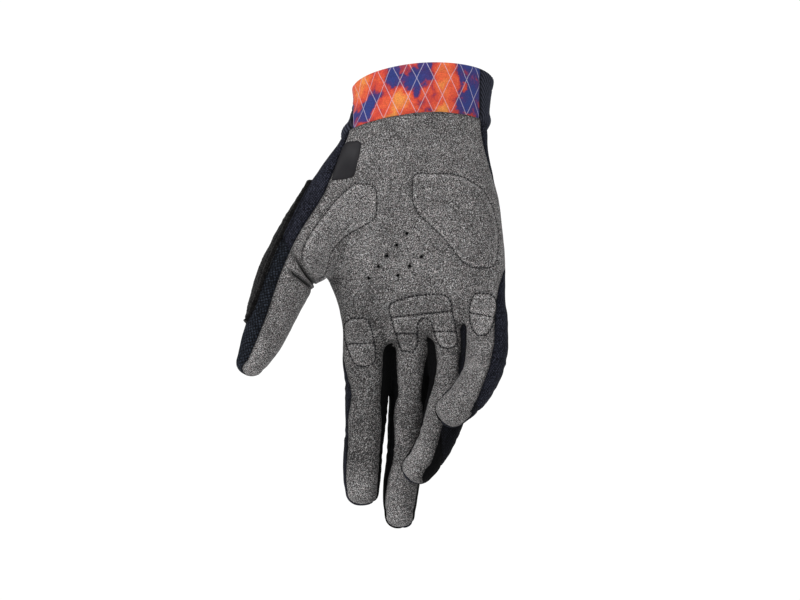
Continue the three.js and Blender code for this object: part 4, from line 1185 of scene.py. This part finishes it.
def band(name, columns, rows, printed, rim_swell):
    """A closed band: down its outside, round its lower edge, up its inside and over the hem at the rim."""
    half = cloth_thickness / 2
    fold = np.linspace(0, np.pi, hem_steps + 2)[1:-1]
    top, bottom = -1.0, -cuff_height - 0.25
    up = np.linspace(bottom, top - half, rows)
    down = np.linspace(top - half, bottom, inner_rows)
    height = np.concatenate([up, top - half + half * np.sin(fold), down])
    depth = np.concatenate([np.zeros(rows), -half + half * np.cos(fold), np.full(inner_rows, -2 * half)])
    hem = bell(height - top + 1.6, 1.7) * 0.35
    hem_line = -0.3 * bell(height - top + 4.6, 0.45)
    tuck = -0.55 * bell(height - bottom, 0.9)
    order = np.argsort(height, kind="stable")
    lines, length, round_it = cuff_lines(columns, height[order], printed)
    places = np.empty_like(lines)
    places[:, order] = lines
    round_it[:, order] = round_it.copy()
    across = np.gradient(places[:, :rows], axis=0)
    upward = np.gradient(places[:, :rows], axis=1)
    outward = unit(np.cross(across, upward))
    middle = places.mean((0, 1))
    if ((places[:, :rows] - middle) * outward).sum() < 0:
        outward = -outward
    inner = outward[:, ::-1][:, np.linspace(0, rows - 1, inner_rows).astype(int)]
    outward = np.concatenate([outward, np.repeat(outward[:, -1:], hem_steps, 1), inner], 1)
    outside = np.arange(len(height)) < rows
    swell = np.where(outside, hem + hem_line + tuck + rim_swell(height), 0)
    flat = places.reshape(-1, 3)
    uneven = (0.22 * lumps(flat, 17, 21) + 0.07 * lumps(flat, 6, 22)).reshape(places.shape[:2])
    end = np.minimum(np.arange(columns), np.arange(columns)[::-1]) * length / (columns - 1)
    sewn = -0.5 * bell(end, 0.7)
    out = depth + swell + np.where(outside, uneven + sewn[:, None], 0) + 0.1
    places = places + outward * out[..., None]
    loop = len(height)
    i, k = np.meshgrid(np.arange(columns - 1), np.arange(loop), indexing="ij")
    a, b = i * loop + k, i * loop + (k + 1) % loop
    quads = np.stack([a, a + loop, b + loop, b], -1).reshape(-1, 4)
    if np.cross(places[1, 5] - places[0, 5], places[0, 6] - places[0, 5]) @ outward[0, 5] < 0:
        quads = quads[:, ::-1]
    ends = []
    for first in (0, (columns - 1) * loop):
        for k in range(loop // 2 - 1):
            ends.append([first + k, first + k + 1, first + loop - 2 - k, first + loop - 1 - k])
    ends = np.array(ends)
    turned = slice(len(ends) // 2, None) if quads[0][1] == loop else slice(len(ends) // 2)
    ends[turned] = ends[turned, ::-1]
    mesh = mesh_of(name, places.reshape(-1, 3), np.vstack([quads, ends]))
    lined = np.arange(loop) >= rows + hem_steps
    float_attribute(mesh, "from_seam", np.repeat(end, loop) * 0.001)
    float_attribute(mesh, "lining", np.tile(lined.astype(float), columns))
    float_attribute(mesh, "round_the_wrist", round_it.ravel() * 0.001)
    float_attribute(mesh, "up_the_wrist", np.tile(height, columns) * 0.001)
    float_attribute(mesh, "outside", np.tile(outside, columns) * np.repeat(ease(end / 1.2), loop))
    return mesh


printed_cloth, tree, shader, place = cloth_material("printed stretch cloth", 0.82, 0.12, gloss=0.3)
round_it = attribute(tree, "round_the_wrist")
up_it = attribute(tree, "up_the_wrist")
flat_place = put(tree, "ShaderNodeCombineXYZ", {0: round_it, 1: up_it}).outputs[0]
cloud_noise = {"Vector": flat_place, "Scale": 120.0, "Detail": 4.0, "Roughness": 0.6}
drift = put(tree, "ShaderNodeTexNoise", cloud_noise).outputs[1]
shifted = put(tree, "ShaderNodeVectorMath", {0: drift, 3: 0.012}, operation="SCALE").outputs[0]
moved = put(tree, "ShaderNodeVectorMath", {0: flat_place, 1: shifted}, operation="ADD").outputs[0]
placed = put(tree, "ShaderNodeMapping", {"Vector": moved, "Location": (0.031, 0.012, 0.0)}).outputs[0]
clouds = steps_of(
    tree,
    noise(tree, placed, 62.0, 3.0),
    [
        (0.4, (0.025, 0.04, 0.2)),
        (0.475, (0.05, 0.03, 0.16)),
        (0.505, (0.36, 0.035, 0.05)),
        (0.54, (0.62, 0.06, 0.035)),
        (0.61, (0.74, 0.11, 0.04)),
        (0.72, (0.8, 0.28, 0.06)),
    ],
)
diamond_width, diamond_slope = 0.0088, 0.62
lines = []
for slope in (diamond_slope, -diamond_slope):
    across = maths(tree, "MULTIPLY_ADD", up_it, slope, round_it)
    cell = maths(tree, "FRACT", maths(tree, "DIVIDE", across, diamond_width))
    off = maths(tree, "ABSOLUTE", maths(tree, "SUBTRACT", cell, 0.5))
    lines.append(ranged(tree, off, 0.01, 0.03, 1.0, 0.0))
line_mask = maths(tree, "MULTIPLY", maths(tree, "MAXIMUM", *lines), 0.62)
inked = blended(tree, line_mask, clouds, (0.62, 0.55, 0.66, 1))
loops = noise(tree, place, 1700.0, 2.0)
coloured = multiplied(tree, inked, ranged(tree, loops, 0.3, 0.7, 0.72, 1.12))
finish_cloth(tree, shader, coloured, loops, 0.0002, 0.5, lining=(0.35, 0.33, 0.33, 1), seam_shade_and_dirt=0.5)
print_columns, print_rows = ((190, 44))
cuff_print_band = piece_of(
    "printed_cuff", band("printed_cuff", print_columns, print_rows, True, lambda h: 0 * h), printed_cloth
)
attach(cuff_print_band, "root")
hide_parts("cuff_print_band")

# Round the back of the wrist the cuff is black elastic cloth with fine slanting ribs. Its lower edge bulges a
# little where it is sewn over the knit.
rib_pitch, rib_height, rib_rise, rib_run = 0.0018, 0.0002, 1.15, 0.75
ribbed, tree, shader, place = cloth_material("ribbed elastic", 0.85, 0.05, (0.7, 0.75, 1, 1), gloss=0.1)
along_it = maths(tree, "MULTIPLY", attribute(tree, "round_the_wrist"), rib_run)
slant = maths(tree, "MULTIPLY_ADD", attribute(tree, "up_the_wrist"), rib_rise, along_it)
wave = maths(tree, "SINE", maths(tree, "MULTIPLY", slant, 2 * math.pi / rib_pitch))
flecks = noise(tree, place, 1700.0, 2.0)
crest = maths(tree, "MULTIPLY_ADD", wave, 0.5, flecks, clamp=True)
rib_colour = blended(tree, crest, (0.002, 0.002, 0.0035, 1), (0.048, 0.052, 0.074, 1))
finish_cloth(tree, shader, rib_colour, flecks, 0.0002, 0.5, seam_shade_and_dirt=0.4)


def new_maker(name, sizes, cloth):
    """A geometry tree with named sizes and a named material to put in, and the way in to it."""
    tree = bpy.data.node_groups.new(name, "GeometryNodeTree")
    tree.interface.new_socket("Geometry", in_out="INPUT", socket_type="NodeSocketGeometry")
    for key, value in sizes.items():
        tree.interface.new_socket(key, in_out="INPUT", socket_type="NodeSocketFloat").default_value = value
    tree.interface.new_socket(cloth, in_out="INPUT", socket_type="NodeSocketMaterial")
    tree.interface.new_socket("Geometry", in_out="OUTPUT", socket_type="NodeSocketGeometry")
    return tree, put(tree, "NodeGroupInput").outputs


rib_sizes = {"Pitch": rib_pitch, "Height": rib_height, "Rise": rib_rise, "Run": rib_run}
ribs, start = new_maker("slanting ribs", rib_sizes, "Cloth")
measured = {}
for key in ("round_the_wrist", "up_the_wrist", "outside"):
    measured[key] = put(ribs, "GeometryNodeInputNamedAttribute", {"Name": key}, data_type="FLOAT").outputs[0]
slant = maths(ribs, "MULTIPLY", measured["round_the_wrist"], start["Run"])
slant = maths(ribs, "ADD", slant, maths(ribs, "MULTIPLY", measured["up_the_wrist"], start["Rise"]))
turns = maths(ribs, "MULTIPLY", maths(ribs, "DIVIDE", slant, start["Pitch"]), 2 * math.pi)
lift = maths(ribs, "MULTIPLY", maths(ribs, "SINE", turns), start["Height"])
lift = maths(ribs, "MULTIPLY", lift, measured["outside"])
outward = put(ribs, "GeometryNodeInputNormal").outputs[0]
offset = put(ribs, "ShaderNodeVectorMath", {0: outward, 3: lift}, operation="SCALE").outputs[0]
raised = put(ribs, "GeometryNodeSetPosition", {"Geometry": start["Geometry"], "Offset": offset}).outputs[0]
plain = put(ribs, "GeometryNodeRealizeInstances", {0: raised}).outputs[0]
dressed = put(ribs, "GeometryNodeSetMaterial", {"Geometry": plain, "Material": start["Cloth"]}).outputs[0]
ribs.links.new(dressed, put(ribs, "NodeGroupOutput").inputs[0])


def made_by(tree, piece, values):
    """Runs a geometry tree on a piece with values for its inputs, and keeps the result as a plain mesh."""
    modifier = piece.modifiers.new(tree.name, "NODES")
    modifier.node_group = tree
    for item in tree.interface.items_tree:
        if item.item_type == "SOCKET" and item.in_out == "INPUT" and item.name in values:
            modifier[item.identifier] = values[item.name]
    mesh = worked(piece)
    piece.modifiers.remove(modifier)
    piece.data = mesh
    return piece


def bulge(height):
    return 0.95 * bell(height + cuff_height - 2.6, 2.0) + 0.25


rib_columns, rib_rows = ((460, 76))
cuff_rib_band = piece_of("ribbed_cuff", band("ribbed_cuff", rib_columns, rib_rows, False, bulge), ribbed)
made_by(ribs, cuff_rib_band, {**rib_sizes, "Cloth": ribbed})
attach(cuff_rib_band, "root")
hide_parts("cuff_rib_band")

# Five padded patches lie on the palm under the same grey suede. Each is thin foam, sewn down round its edge.
# The three at the fingers' roots are also sewn across so that they bend. The foam swells between the seams.

# height of the middle, columns across, rows along, and the lines sewn across, each by its ends in x and level
patch_make = {
    "thenar_pad": (2.3, 30, 54, []),
    "hypothenar_pad": (2.5, 40, 54, []),
    "index_pad": (2.1, 18, 30, [((-41, -135.4), (-23, -134.4))]),
    "finger_pad": (
        2.1,
        16,
        92,
        [((-18, -121.6), (16.5, -118.1)), ((-15, -129.7), (0, -130)), ((4, -128.5), (19, -128.9))],
    ),
    "little_pad": (2.0, 16, 26, [((23, -118.7), (38.5, -121.9))]),
}
patch_rim = -0.22
blown_frames = 20
pad_tone = {
    "thenar_pad": 0.12,
    "hypothenar_pad": 0,
    "index_pad": -0.2,
    "finger_pad": -0.08,
    "little_pad": 0.08,
}


def laid_on_palm(ribs, columns, rows, crowd=0.0):
    """A grid over a patch's ribs, laid on the palm, with the way that the cloth faces at each place."""
    read = along(ribs, np.linspace(0, 1, rows))
    share = np.linspace(0, 1, columns)
    share = share * (1 - crowd) + (1 - np.cos(share * np.pi)) / 2 * crowd
    flat = read[:, None, :2] * (1 - share[None, :, None]) + read[:, None, 2:] * share[None, :, None]
    places = np.empty((rows, columns, 3))
    facing = np.empty((rows, columns, 3))
    for k in range(rows):
        for i in range(columns):
            places[k, i], facing[k, i] = skin_at((flat[k, i, 0], -90, flat[k, i, 1]), (0, 1, 0))
    return flat, places, facing


def line_distance(flat, line):
    (ax, az), (bx, bz) = line
    length = math.hypot(bx - ax, bz - az)
    across = ((flat[..., 0] - ax) * (bz - az) - (flat[..., 1] - az) * (bx - ax)) / length
    onward = ((flat[..., 0] - ax) * (bx - ax) + (flat[..., 1] - az) * (bz - az)) / length
    return np.hypot(across, np.maximum(np.maximum(-onward, onward - length), 0))


def depth_in_grid(outline, flat):
    """How far inside an outline each place of a grid lies, with its rim at nothing."""
    inside = np.abs(depth_inside(outline, flat[..., 0].ravel(), flat[..., 1].ravel()).reshape(flat.shape[:2]))
    inside[[0, -1], :] = 0
    inside[:, [0, -1]] = 0
    return inside


def grid_quads(rows, columns):
    k, i = np.meshgrid(np.arange(rows - 1), np.arange(columns - 1), indexing="ij")
    a = (k * columns + i).ravel()
    return np.stack([a, a + 1, a + columns + 1, a + columns], 1)


def swollen(name, places, facing, inside, sewn, height):
    """Where the foam pushes the cloth, found by blowing up the sewn-down cloth and letting it settle."""
    rows, columns = places.shape[:2]
    guess = height * (1 - np.exp(-((inside / 1.9) ** 1.2))) * (1 - bell(sewn, 1.3))
    scale = 0.01
    start = places + facing * (patch_rim + guess * 0.45)[..., None]
    flat_sheet = mesh_of(name + "_sheet", start.reshape(-1, 3), grid_quads(rows, columns), scale)
    sheet = bpy.data.objects.new(name + "_sheet", flat_sheet)
    bpy.context.scene.collection.objects.link(sheet)
    held = sheet.vertex_groups.new(name="sewn")
    pinned = np.zeros((rows, columns), bool)
    pinned[[0, -1], :] = True
    pinned[:, [0, -1]] = True
    pinned |= sewn < 0.35
    held.add(np.flatnonzero(pinned.ravel()).tolist(), 1.0, "REPLACE")
    normal = np.cross(start[0, 1] - start[0, 0], start[1, 0] - start[0, 0]) @ facing[0, 0]
    cloth = sheet.modifiers.new("foam", "CLOTH")
    settings = cloth.settings
    settings.vertex_group_mass = "sewn"
    settings.quality = 6
    settings.mass = 0.3
    settings.tension_stiffness = 9
    settings.compression_stiffness = 9
    settings.shear_stiffness = 3
    settings.bending_stiffness = 0.9
    settings.use_pressure = True
    settings.uniform_pressure_force = 4.5 if normal > 0 else -4.5
    settings.effector_weights.gravity = 0
    cloth.collision_settings.use_collision = False
    cloth.point_cache.frame_start = 1
    cloth.point_cache.frame_end = blown_frames
    scene = bpy.context.scene
    for number in range(1, blown_frames + 1):
        scene.frame_set(number)
        bpy.context.view_layer.update()
    blown, _ = read_mesh(worked(sheet))
    scene.frame_set(1)
    bpy.data.objects.remove(sheet)
    moved = blown.reshape(rows, columns, 3) / scale - places
    out = (moved * facing).sum(-1)
    aside = moved - facing * out[..., None]
    most = patch_rim + np.minimum(guess * 1.25 + 0.15, height)
    capped = most - np.log1p(np.exp((most - out) * 4)) / 4 + 0.17
    capped = np.maximum(capped, patch_rim + guess * 0.5)
    capped[pinned] = out[pinned]
    aside *= 0.5 / np.maximum(np.linalg.norm(aside, axis=-1, keepdims=True), 0.5)
    return places + facing * capped[..., None] + aside


def lens(name, top, under, material, rim_distance, tones=None):
    """A closed piece between a grid and the grid under it."""
    rows, columns = top.shape[:2]
    n = rows * columns
    upper = grid_quads(rows, columns)
    side = [*range(columns), *range(2 * columns - 1, n, columns)]
    side += [*range(n - 2, n - columns - 1, -1), *range(n - 2 * columns, 0, -columns)]
    side = np.array(side)
    after = np.roll(side, -1)
    walls = np.stack([side, side + n, after + n, after], 1)
    faces = np.vstack([upper, upper[:, ::-1] + n, walls])
    out = np.cross(top[1:, :-1] - top[:-1, :-1], top[:-1, 1:] - top[:-1, :-1])
    if (out[..., 1] > 0).sum() >= out[..., 1].size / 2:
        faces = faces[:, ::-1]
    mesh = mesh_of(name, np.vstack([top.reshape(-1, 3), under.reshape(-1, 3)]), faces)
    float_attribute(mesh, "from_seam", np.tile(rim_distance.ravel(), 2) * 0.001)
    float_attribute(mesh, "lining", np.zeros(2 * n))
    if tones is not None:
        float_attribute(mesh, "tone", np.tile(tones.ravel(), 2))
    return piece_of(name, mesh, material)


stitch_paths = {"palm_stitching": [], "heel_pad_stitching": [], "root_pad_stitching": []}
for name, (height, columns, rows, lines) in patch_make.items():
    flat, places, facing = laid_on_palm(patch_ribs[name], columns, rows)
    outline = patch_outline(patch_ribs[name])
    inside = depth_in_grid(outline, flat)
    sewn = np.full((rows, columns), 99.0)
    for line in lines:
        sewn = np.minimum(sewn, line_distance(flat, line))
    top = swollen(name, places, facing, inside, sewn, height)
    under = places + facing * (patch_rim - 0.12)
    edge = np.minimum(inside, sewn)
    # Painted highlight and wear: a paler band just inside each pad's rim, on its own tone, which is partly
    # painted light and shade.
    wear_and_rim_highlight = pad_tone[name] + 0.3 * bell(np.minimum(edge, inside * 1.2) - 1.2, 0.8)
    pad = lens(name.replace("pad", "patch"), top, under, suede, edge * 1.5 + 0.15, wear_and_rim_highlight)
    subdivision = pad.modifiers.new("smooth", "SUBSURF")
    subdivision.levels = subdivision.render_levels = 1
    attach(pad, "root")
    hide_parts(name)
    ring, out = (np.vstack([v[0], v[1:, -1], v[-1, -2::-1], v[-2:0:-1, 0]]) for v in (places, facing))
    row_name = "root_pad_stitching" if lines else "heel_pad_stitching"
    stitch_paths[row_name].append((ring + out * 0.12, True))
    for (ax, az), (bx, bz) in lines:
        s = np.linspace(0, 1, 60)
        line_x, line_z = ax + (bx - ax) * s, az + (bz - az) * s
        keep = depth_inside(outline, line_x, line_z) > 0.3
        found = [skin_at((px, -90, pz), (0, 1, 0)) for px, pz in zip(line_x[keep], line_z[keep])]
        stitch_paths[row_name].append((np.array([p + f * 0.3 for p, f in found]), False))

# The tag at the heel of the hand is a flat, bare piece of smooth dark film with round corners. It is bonded to
# the suede, and its edge is pressed down all round.
tag_ribs = [
    (-38.6, -31.4, -33.2, -30.8),
    (-40.8, -34.5, -31.3, -32.6),
    (-42.6, -39, -32.2, -38.6),
    (-45, -45.5, -33.8, -45),
    (-46.2, -49.5, -35.4, -49),
    (-46.7, -51.4, -39, -50.6),
]
tag_film, tree, shader, place = cloth_material("tag film", 0.55, 0.02, gloss=0.2)
rubbed = noise(tree, place, 140.0, 4.0)
film = blended(tree, rubbed, (0.008, 0.0078, 0.0095, 1), (0.019, 0.018, 0.021, 1))
finish_cloth(tree, shader, film, noise(tree, place, 1900.0, 3.0), 0.0001, 0.35, seam_shade_and_dirt=0.3)
tree.links.new(ranged(tree, rubbed, 0.3, 0.7, 0.48, 0.68), shader.inputs["Roughness"])
flat, places, facing = laid_on_palm(tag_ribs, 20, 34, 0.6)
inside = depth_in_grid(patch_outline(tag_ribs), flat)
welded = -0.14 * bell(inside - 1.1, 0.28)
top = places + facing * (0.45 + 0.5 * (1 - np.exp(-inside / 0.3)) + welded)[..., None]
heel_label = lens("heel_tag", top, places + facing * 0.1, tag_film, inside)
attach(heel_label, "root")
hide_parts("heel_label")

# The sweat wipe is a strip of charcoal towelling along the thumb's outer side. Its edges are turned in and
# sewn on, and its loops stand up unevenly.
towel, tree, shader, place = cloth_material("towelling", 1.0, 0.12, gloss=0.08)
loops = put(tree, "ShaderNodeTexVoronoi", {"Vector": place, "Scale": 1150.0}, feature="F1")
hollow = maths(tree, "SUBTRACT", 0.7, loops.outputs["Distance"])
tufts = maths(tree, "MULTIPLY_ADD", hollow, 0.8, noise(tree, place, 900.0, 4.0, 0.7))
towel_stops = [(0.45, (0.0018, 0.0018, 0.002)), (0.75, (0.009, 0.0085, 0.0088)), (1.0, (0.034, 0.033, 0.032))]
towel_colour = steps_of(tree, tufts, towel_stops)
finish_cloth(tree, shader, towel_colour, tufts, 0.0006, 0.9, seam_shade_and_dirt=0.5)


def level_place(name, level):
    rows = along(digit_stations[name], np.linspace(0, 1, 400))
    return np.interp(-level, -rows[:, 2], np.linspace(0, 1, 400))


wipe_rows, wipe_columns = ((180, 52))
steps = np.linspace(0, 1, wipe_rows)
wipe_first, wipe_last = (level_place("thumb", level) for level in (wipe_top, wipe_bottom))
row, ahead, front, side = digit_frame("thumb", wipe_first + (wipe_last - wipe_first) * steps)
taper = wipe_taper(steps)
share = np.linspace(-1, 1, wipe_columns)
angle = np.radians(wipe_middle + wipe_spread * taper[:, None] * share[None])
places = np.empty((wipe_rows, wipe_columns, 3))
facing = np.empty((wipe_rows, wipe_columns, 3))
for k in range(wipe_rows):
    for i in range(wipe_columns):
        way = side[k] * math.sin(angle[k, i]) * row[k, 3] + front[k] * math.cos(angle[k, i]) * row[k, 4]
        places[k, i], facing[k, i] = skin_at(row[k, :3] + way * 1.9, -way)
arc = (1 - np.abs(share))[None] * np.radians(wipe_spread) * taper[:, None] * row[:, 3:4]
ends = np.minimum(steps, steps[::-1])[:, None] * 66
inside = np.minimum(arc, ends)
body = 1.25 * np.sqrt(1 - (1 - np.clip(inside / 1.1, 0, 1)) ** 2) + 0.3 * bell(inside - 1.1, 0.8)
body -= 0.35 * bell(inside - 2.6, 0.5)
flat = places.reshape(-1, 3)
rough = 0.11 * lumps(flat, 1.1, 31) + 0.08 * lumps(flat, 1.9, 32) + 0.16 * lumps(flat, 9, 33)
top = places + facing * (0.35 + body + rough.reshape(inside.shape) * ease(inside / 0.8))[..., None]
thumb_wipe = lens("sweat_wipe", top, places + facing * 0.05, towel, inside)
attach(thumb_wipe, "root")
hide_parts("thumb_wipe")

# Dark thread: short stitches round the padded patches and along the seams. Each one is sunk a little in the
# cloth, and those at the fingers' roots are thicker.
thread, tree, shader, place = cloth_material("dark thread", 0.7, 0.02, gloss=0.12)
twist = noise(tree, place, 3500.0, 2.0)
thread_colour = blended(tree, twist, (0.003, 0.003, 0.004, 1), (0.014, 0.014, 0.017, 1))
tree.links.new(thread_colour, shader.inputs["Base Color"])
strands = put(tree, "ShaderNodeBump", {"Strength": 0.5, "Distance": 0.00005, "Height": twist}).outputs[0]
tree.links.new(strands, shader.inputs["Normal"])

stitch_sizes = {"Pitch": 0.0019, "Length": 0.0013, "Thickness": 0.0004}
stitches, start = new_maker("row of stitches", stitch_sizes, "Thread")
path = put(stitches, "GeometryNodeMeshToCurve", {"Mesh": start["Geometry"]}).outputs[0]
even = put(stitches, "GeometryNodeResampleCurve", {"Curve": path, "Length": start["Pitch"]}, mode="LENGTH")
bead = put(stitches, "GeometryNodeMeshUVSphere", {"Segments": 6, "Rings": 5, "Radius": 0.5}).outputs[0]
tangent = put(stitches, "GeometryNodeInputTangent").outputs[0]
turned = put(stitches, "FunctionNodeAlignRotationToVector", {"Vector": tangent}, axis="Z").outputs[0]
thick = start["Thickness"]
shape = put(stitches, "ShaderNodeCombineXYZ", {0: thick, 1: thick, 2: start["Length"]}).outputs[0]
beads = {"Points": even.outputs[0], "Instance": bead, "Rotation": turned, "Scale": shape}
stitch_row = put(stitches, "GeometryNodeInstanceOnPoints", beads).outputs[0]
real = put(stitches, "GeometryNodeRealizeInstances", {0: stitch_row}).outputs[0]
smooth = put(stitches, "GeometryNodeSetShadeSmooth", {0: real}).outputs[0]
sewn_with = put(stitches, "GeometryNodeSetMaterial", {"Geometry": smooth, "Material": start["Thread"]})
stitches.links.new(sewn_with.outputs[0], put(stitches, "NodeGroupOutput").inputs[0])


def stitched(name, pitch, length, thickness):
    points, edges = [], []
    for line, closed in stitch_paths[name]:
        first = len(points)
        points += [tuple(p * 0.001) for p in line]
        edges += [(first + k, first + k + 1) for k in range(len(line) - 1)]
        if closed:
            edges.append((len(points) - 1, first))
    mesh = bpy.data.meshes.new(name)
    mesh.from_pydata(points, edges, [])
    piece = bpy.data.objects.new(name, mesh)
    bpy.context.scene.collection.objects.link(piece)
    made_by(stitches, piece, {"Pitch": pitch, "Length": length, "Thickness": thickness, "Thread": thread})
    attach(piece, "root")


stitched("heel_pad_stitching", 0.0019, 0.0013, 0.00042)
stitched("root_pad_stitching", 0.0021, 0.0014, 0.00072)

# The palm's seams to the back are sewn with the same thread, deep in the seam.


def seam_lines():
    """The seams round the grey cloths as lines of points lying in the cloth."""
    edges, low, high, _ = panels_beside(skin_points, skin_measures, skin_faces)
    grey_edge = ((low == 0) & (high == 1)) | ((low == 2) & (high == 3)) | ((low == 0) & (high == 3))
    joins = {}
    for a, b in edges[grey_edge]:
        joins.setdefault(int(a), []).append(int(b))
        joins.setdefault(int(b), []).append(int(a))
    lines = []
    while joins:
        start = next((k for k, v in joins.items() if len(v) == 1), next(iter(joins)))
        line = [start]
        while joins.get(line[-1]):
            here = line[-1]
            after = joins[here].pop()
            joins[after].remove(here)
            if not joins[here]:
                del joins[here]
            line.append(after)
        if not joins.get(line[-1]):
            joins.pop(line[-1], None)
        if len(line) > 12:
            lines.append((cloth_points[line] + normals[line] * 0.1, False))
    return lines


crotch_rows = [(-45.5, -101.3, -37.3, -102.3), (-45, -102.8, -39.8, -104.1)]
for ax, az, bx, bz in crotch_rows:
    line_x, line_z = np.linspace(ax, bx, 24), np.linspace(az, bz, 24)
    found = [skin_at((px, -90, pz), (0, 1, 0)) for px, pz in zip(line_x, line_z)]
    stitch_paths["palm_stitching"].append((np.array([p + f * 0.1 for p, f in found]), False))
stitch_paths["palm_stitching"] += seam_lines()
stitched("palm_stitching", 0.0016, 0.0011, 0.00036)

# The studio: a plain pale paper floor, soft lamps, and the camera that looks straight at the palm.
paper = bpy.data.materials.new("pale paper")
paper.use_nodes = True
tree = paper.node_tree
paper_shader = tree.nodes["Principled BSDF"]
floor_reach, floor_level, floor_sides = 0.95, -0.3, 96
place = put(tree, "ShaderNodeTexCoord").outputs["Object"]
fibres = noise(tree, place, 4.0, 2.0)
tree.links.new(blended(tree, fibres, grey(0.88), grey(0.9)), paper_shader.inputs["Base Color"])
paper_shader.inputs["Roughness"].default_value = 0.9
from_middle = put(tree, "ShaderNodeVectorMath", {0: place}, operation="LENGTH").outputs["Value"]
far_out = ranged(tree, from_middle, 0.35, floor_reach, 0.06, 0.7)
tree.links.new(blended(tree, far_out, grey(0), grey(1)), paper_shader.inputs["Emission Color"])
paper_shader.inputs["Emission Strength"].default_value = 1.0
around = np.linspace(0, 2 * np.pi, floor_sides, endpoint=False)
floor_points = np.tile([0.0, 0.0, floor_level], (floor_sides + 1, 1))
floor_points[:-1, 0] = floor_reach * np.cos(around)
floor_points[:-1, 1] = floor_reach * np.sin(around)
k = np.arange(floor_sides)
floor_faces = np.stack([k, (k + 1) % floor_sides, np.full(floor_sides, floor_sides)], 1)
sweep = piece_of("paper_floor", mesh_of("paper_floor", floor_points, floor_faces, 1), paper)


def soft_lamp(name, place, aim, size, power):
    lamp = bpy.data.lights.new(name, "AREA")
    lamp.shape = "DISK"
    lamp.size = size
    lamp.energy = power
    piece = bpy.data.objects.new(name, lamp)
    piece.location = place
    piece.rotation_euler = (Vector(aim) - Vector(place)).to_track_quat("-Z", "Y").to_euler()
    piece.visible_camera = False
    bpy.context.scene.collection.objects.link(piece)


middle = (-0.012, 0, -0.11)
soft_lamp("key_lamp", (-1.3, -1.2, 0.9), middle, 0.8, 29)
soft_lamp("fill_lamp", (1.2, -1.4, 0.2), middle, 1.2, 4)
soft_lamp("high_lamp", (1.1, -0.9, 1.2), middle, 0.8, 10)
soft_lamp("rear_lamp", (0.3, 1.6, 1.0), middle, 1.2, 10)
world = bpy.data.worlds.new("studio")
world.use_nodes = True
tree = world.node_tree
seen = put(tree, "ShaderNodeLightPath").outputs["Is Camera Ray"]
tree.nodes["Background"].inputs[0].default_value = (1, 1, 1, 1)
tree.links.new(maths(tree, "MULTIPLY_ADD", seen, 0.78, 0.26), tree.nodes["Background"].inputs[1])
bpy.context.scene.world = world
bpy.context.scene.view_settings.view_transform = "Standard"

camera = bpy.data.objects.new("camera", bpy.data.cameras.new("camera"))
camera.data.sensor_width = 36
camera.data.lens = 36 * 5 / 0.4112
camera.location = (-0.01157, -5, -0.11257)
camera.rotation_euler = (math.pi / 2, 0, 0)
bpy.context.scene.collection.objects.link(camera)
bpy.context.scene.camera = camera
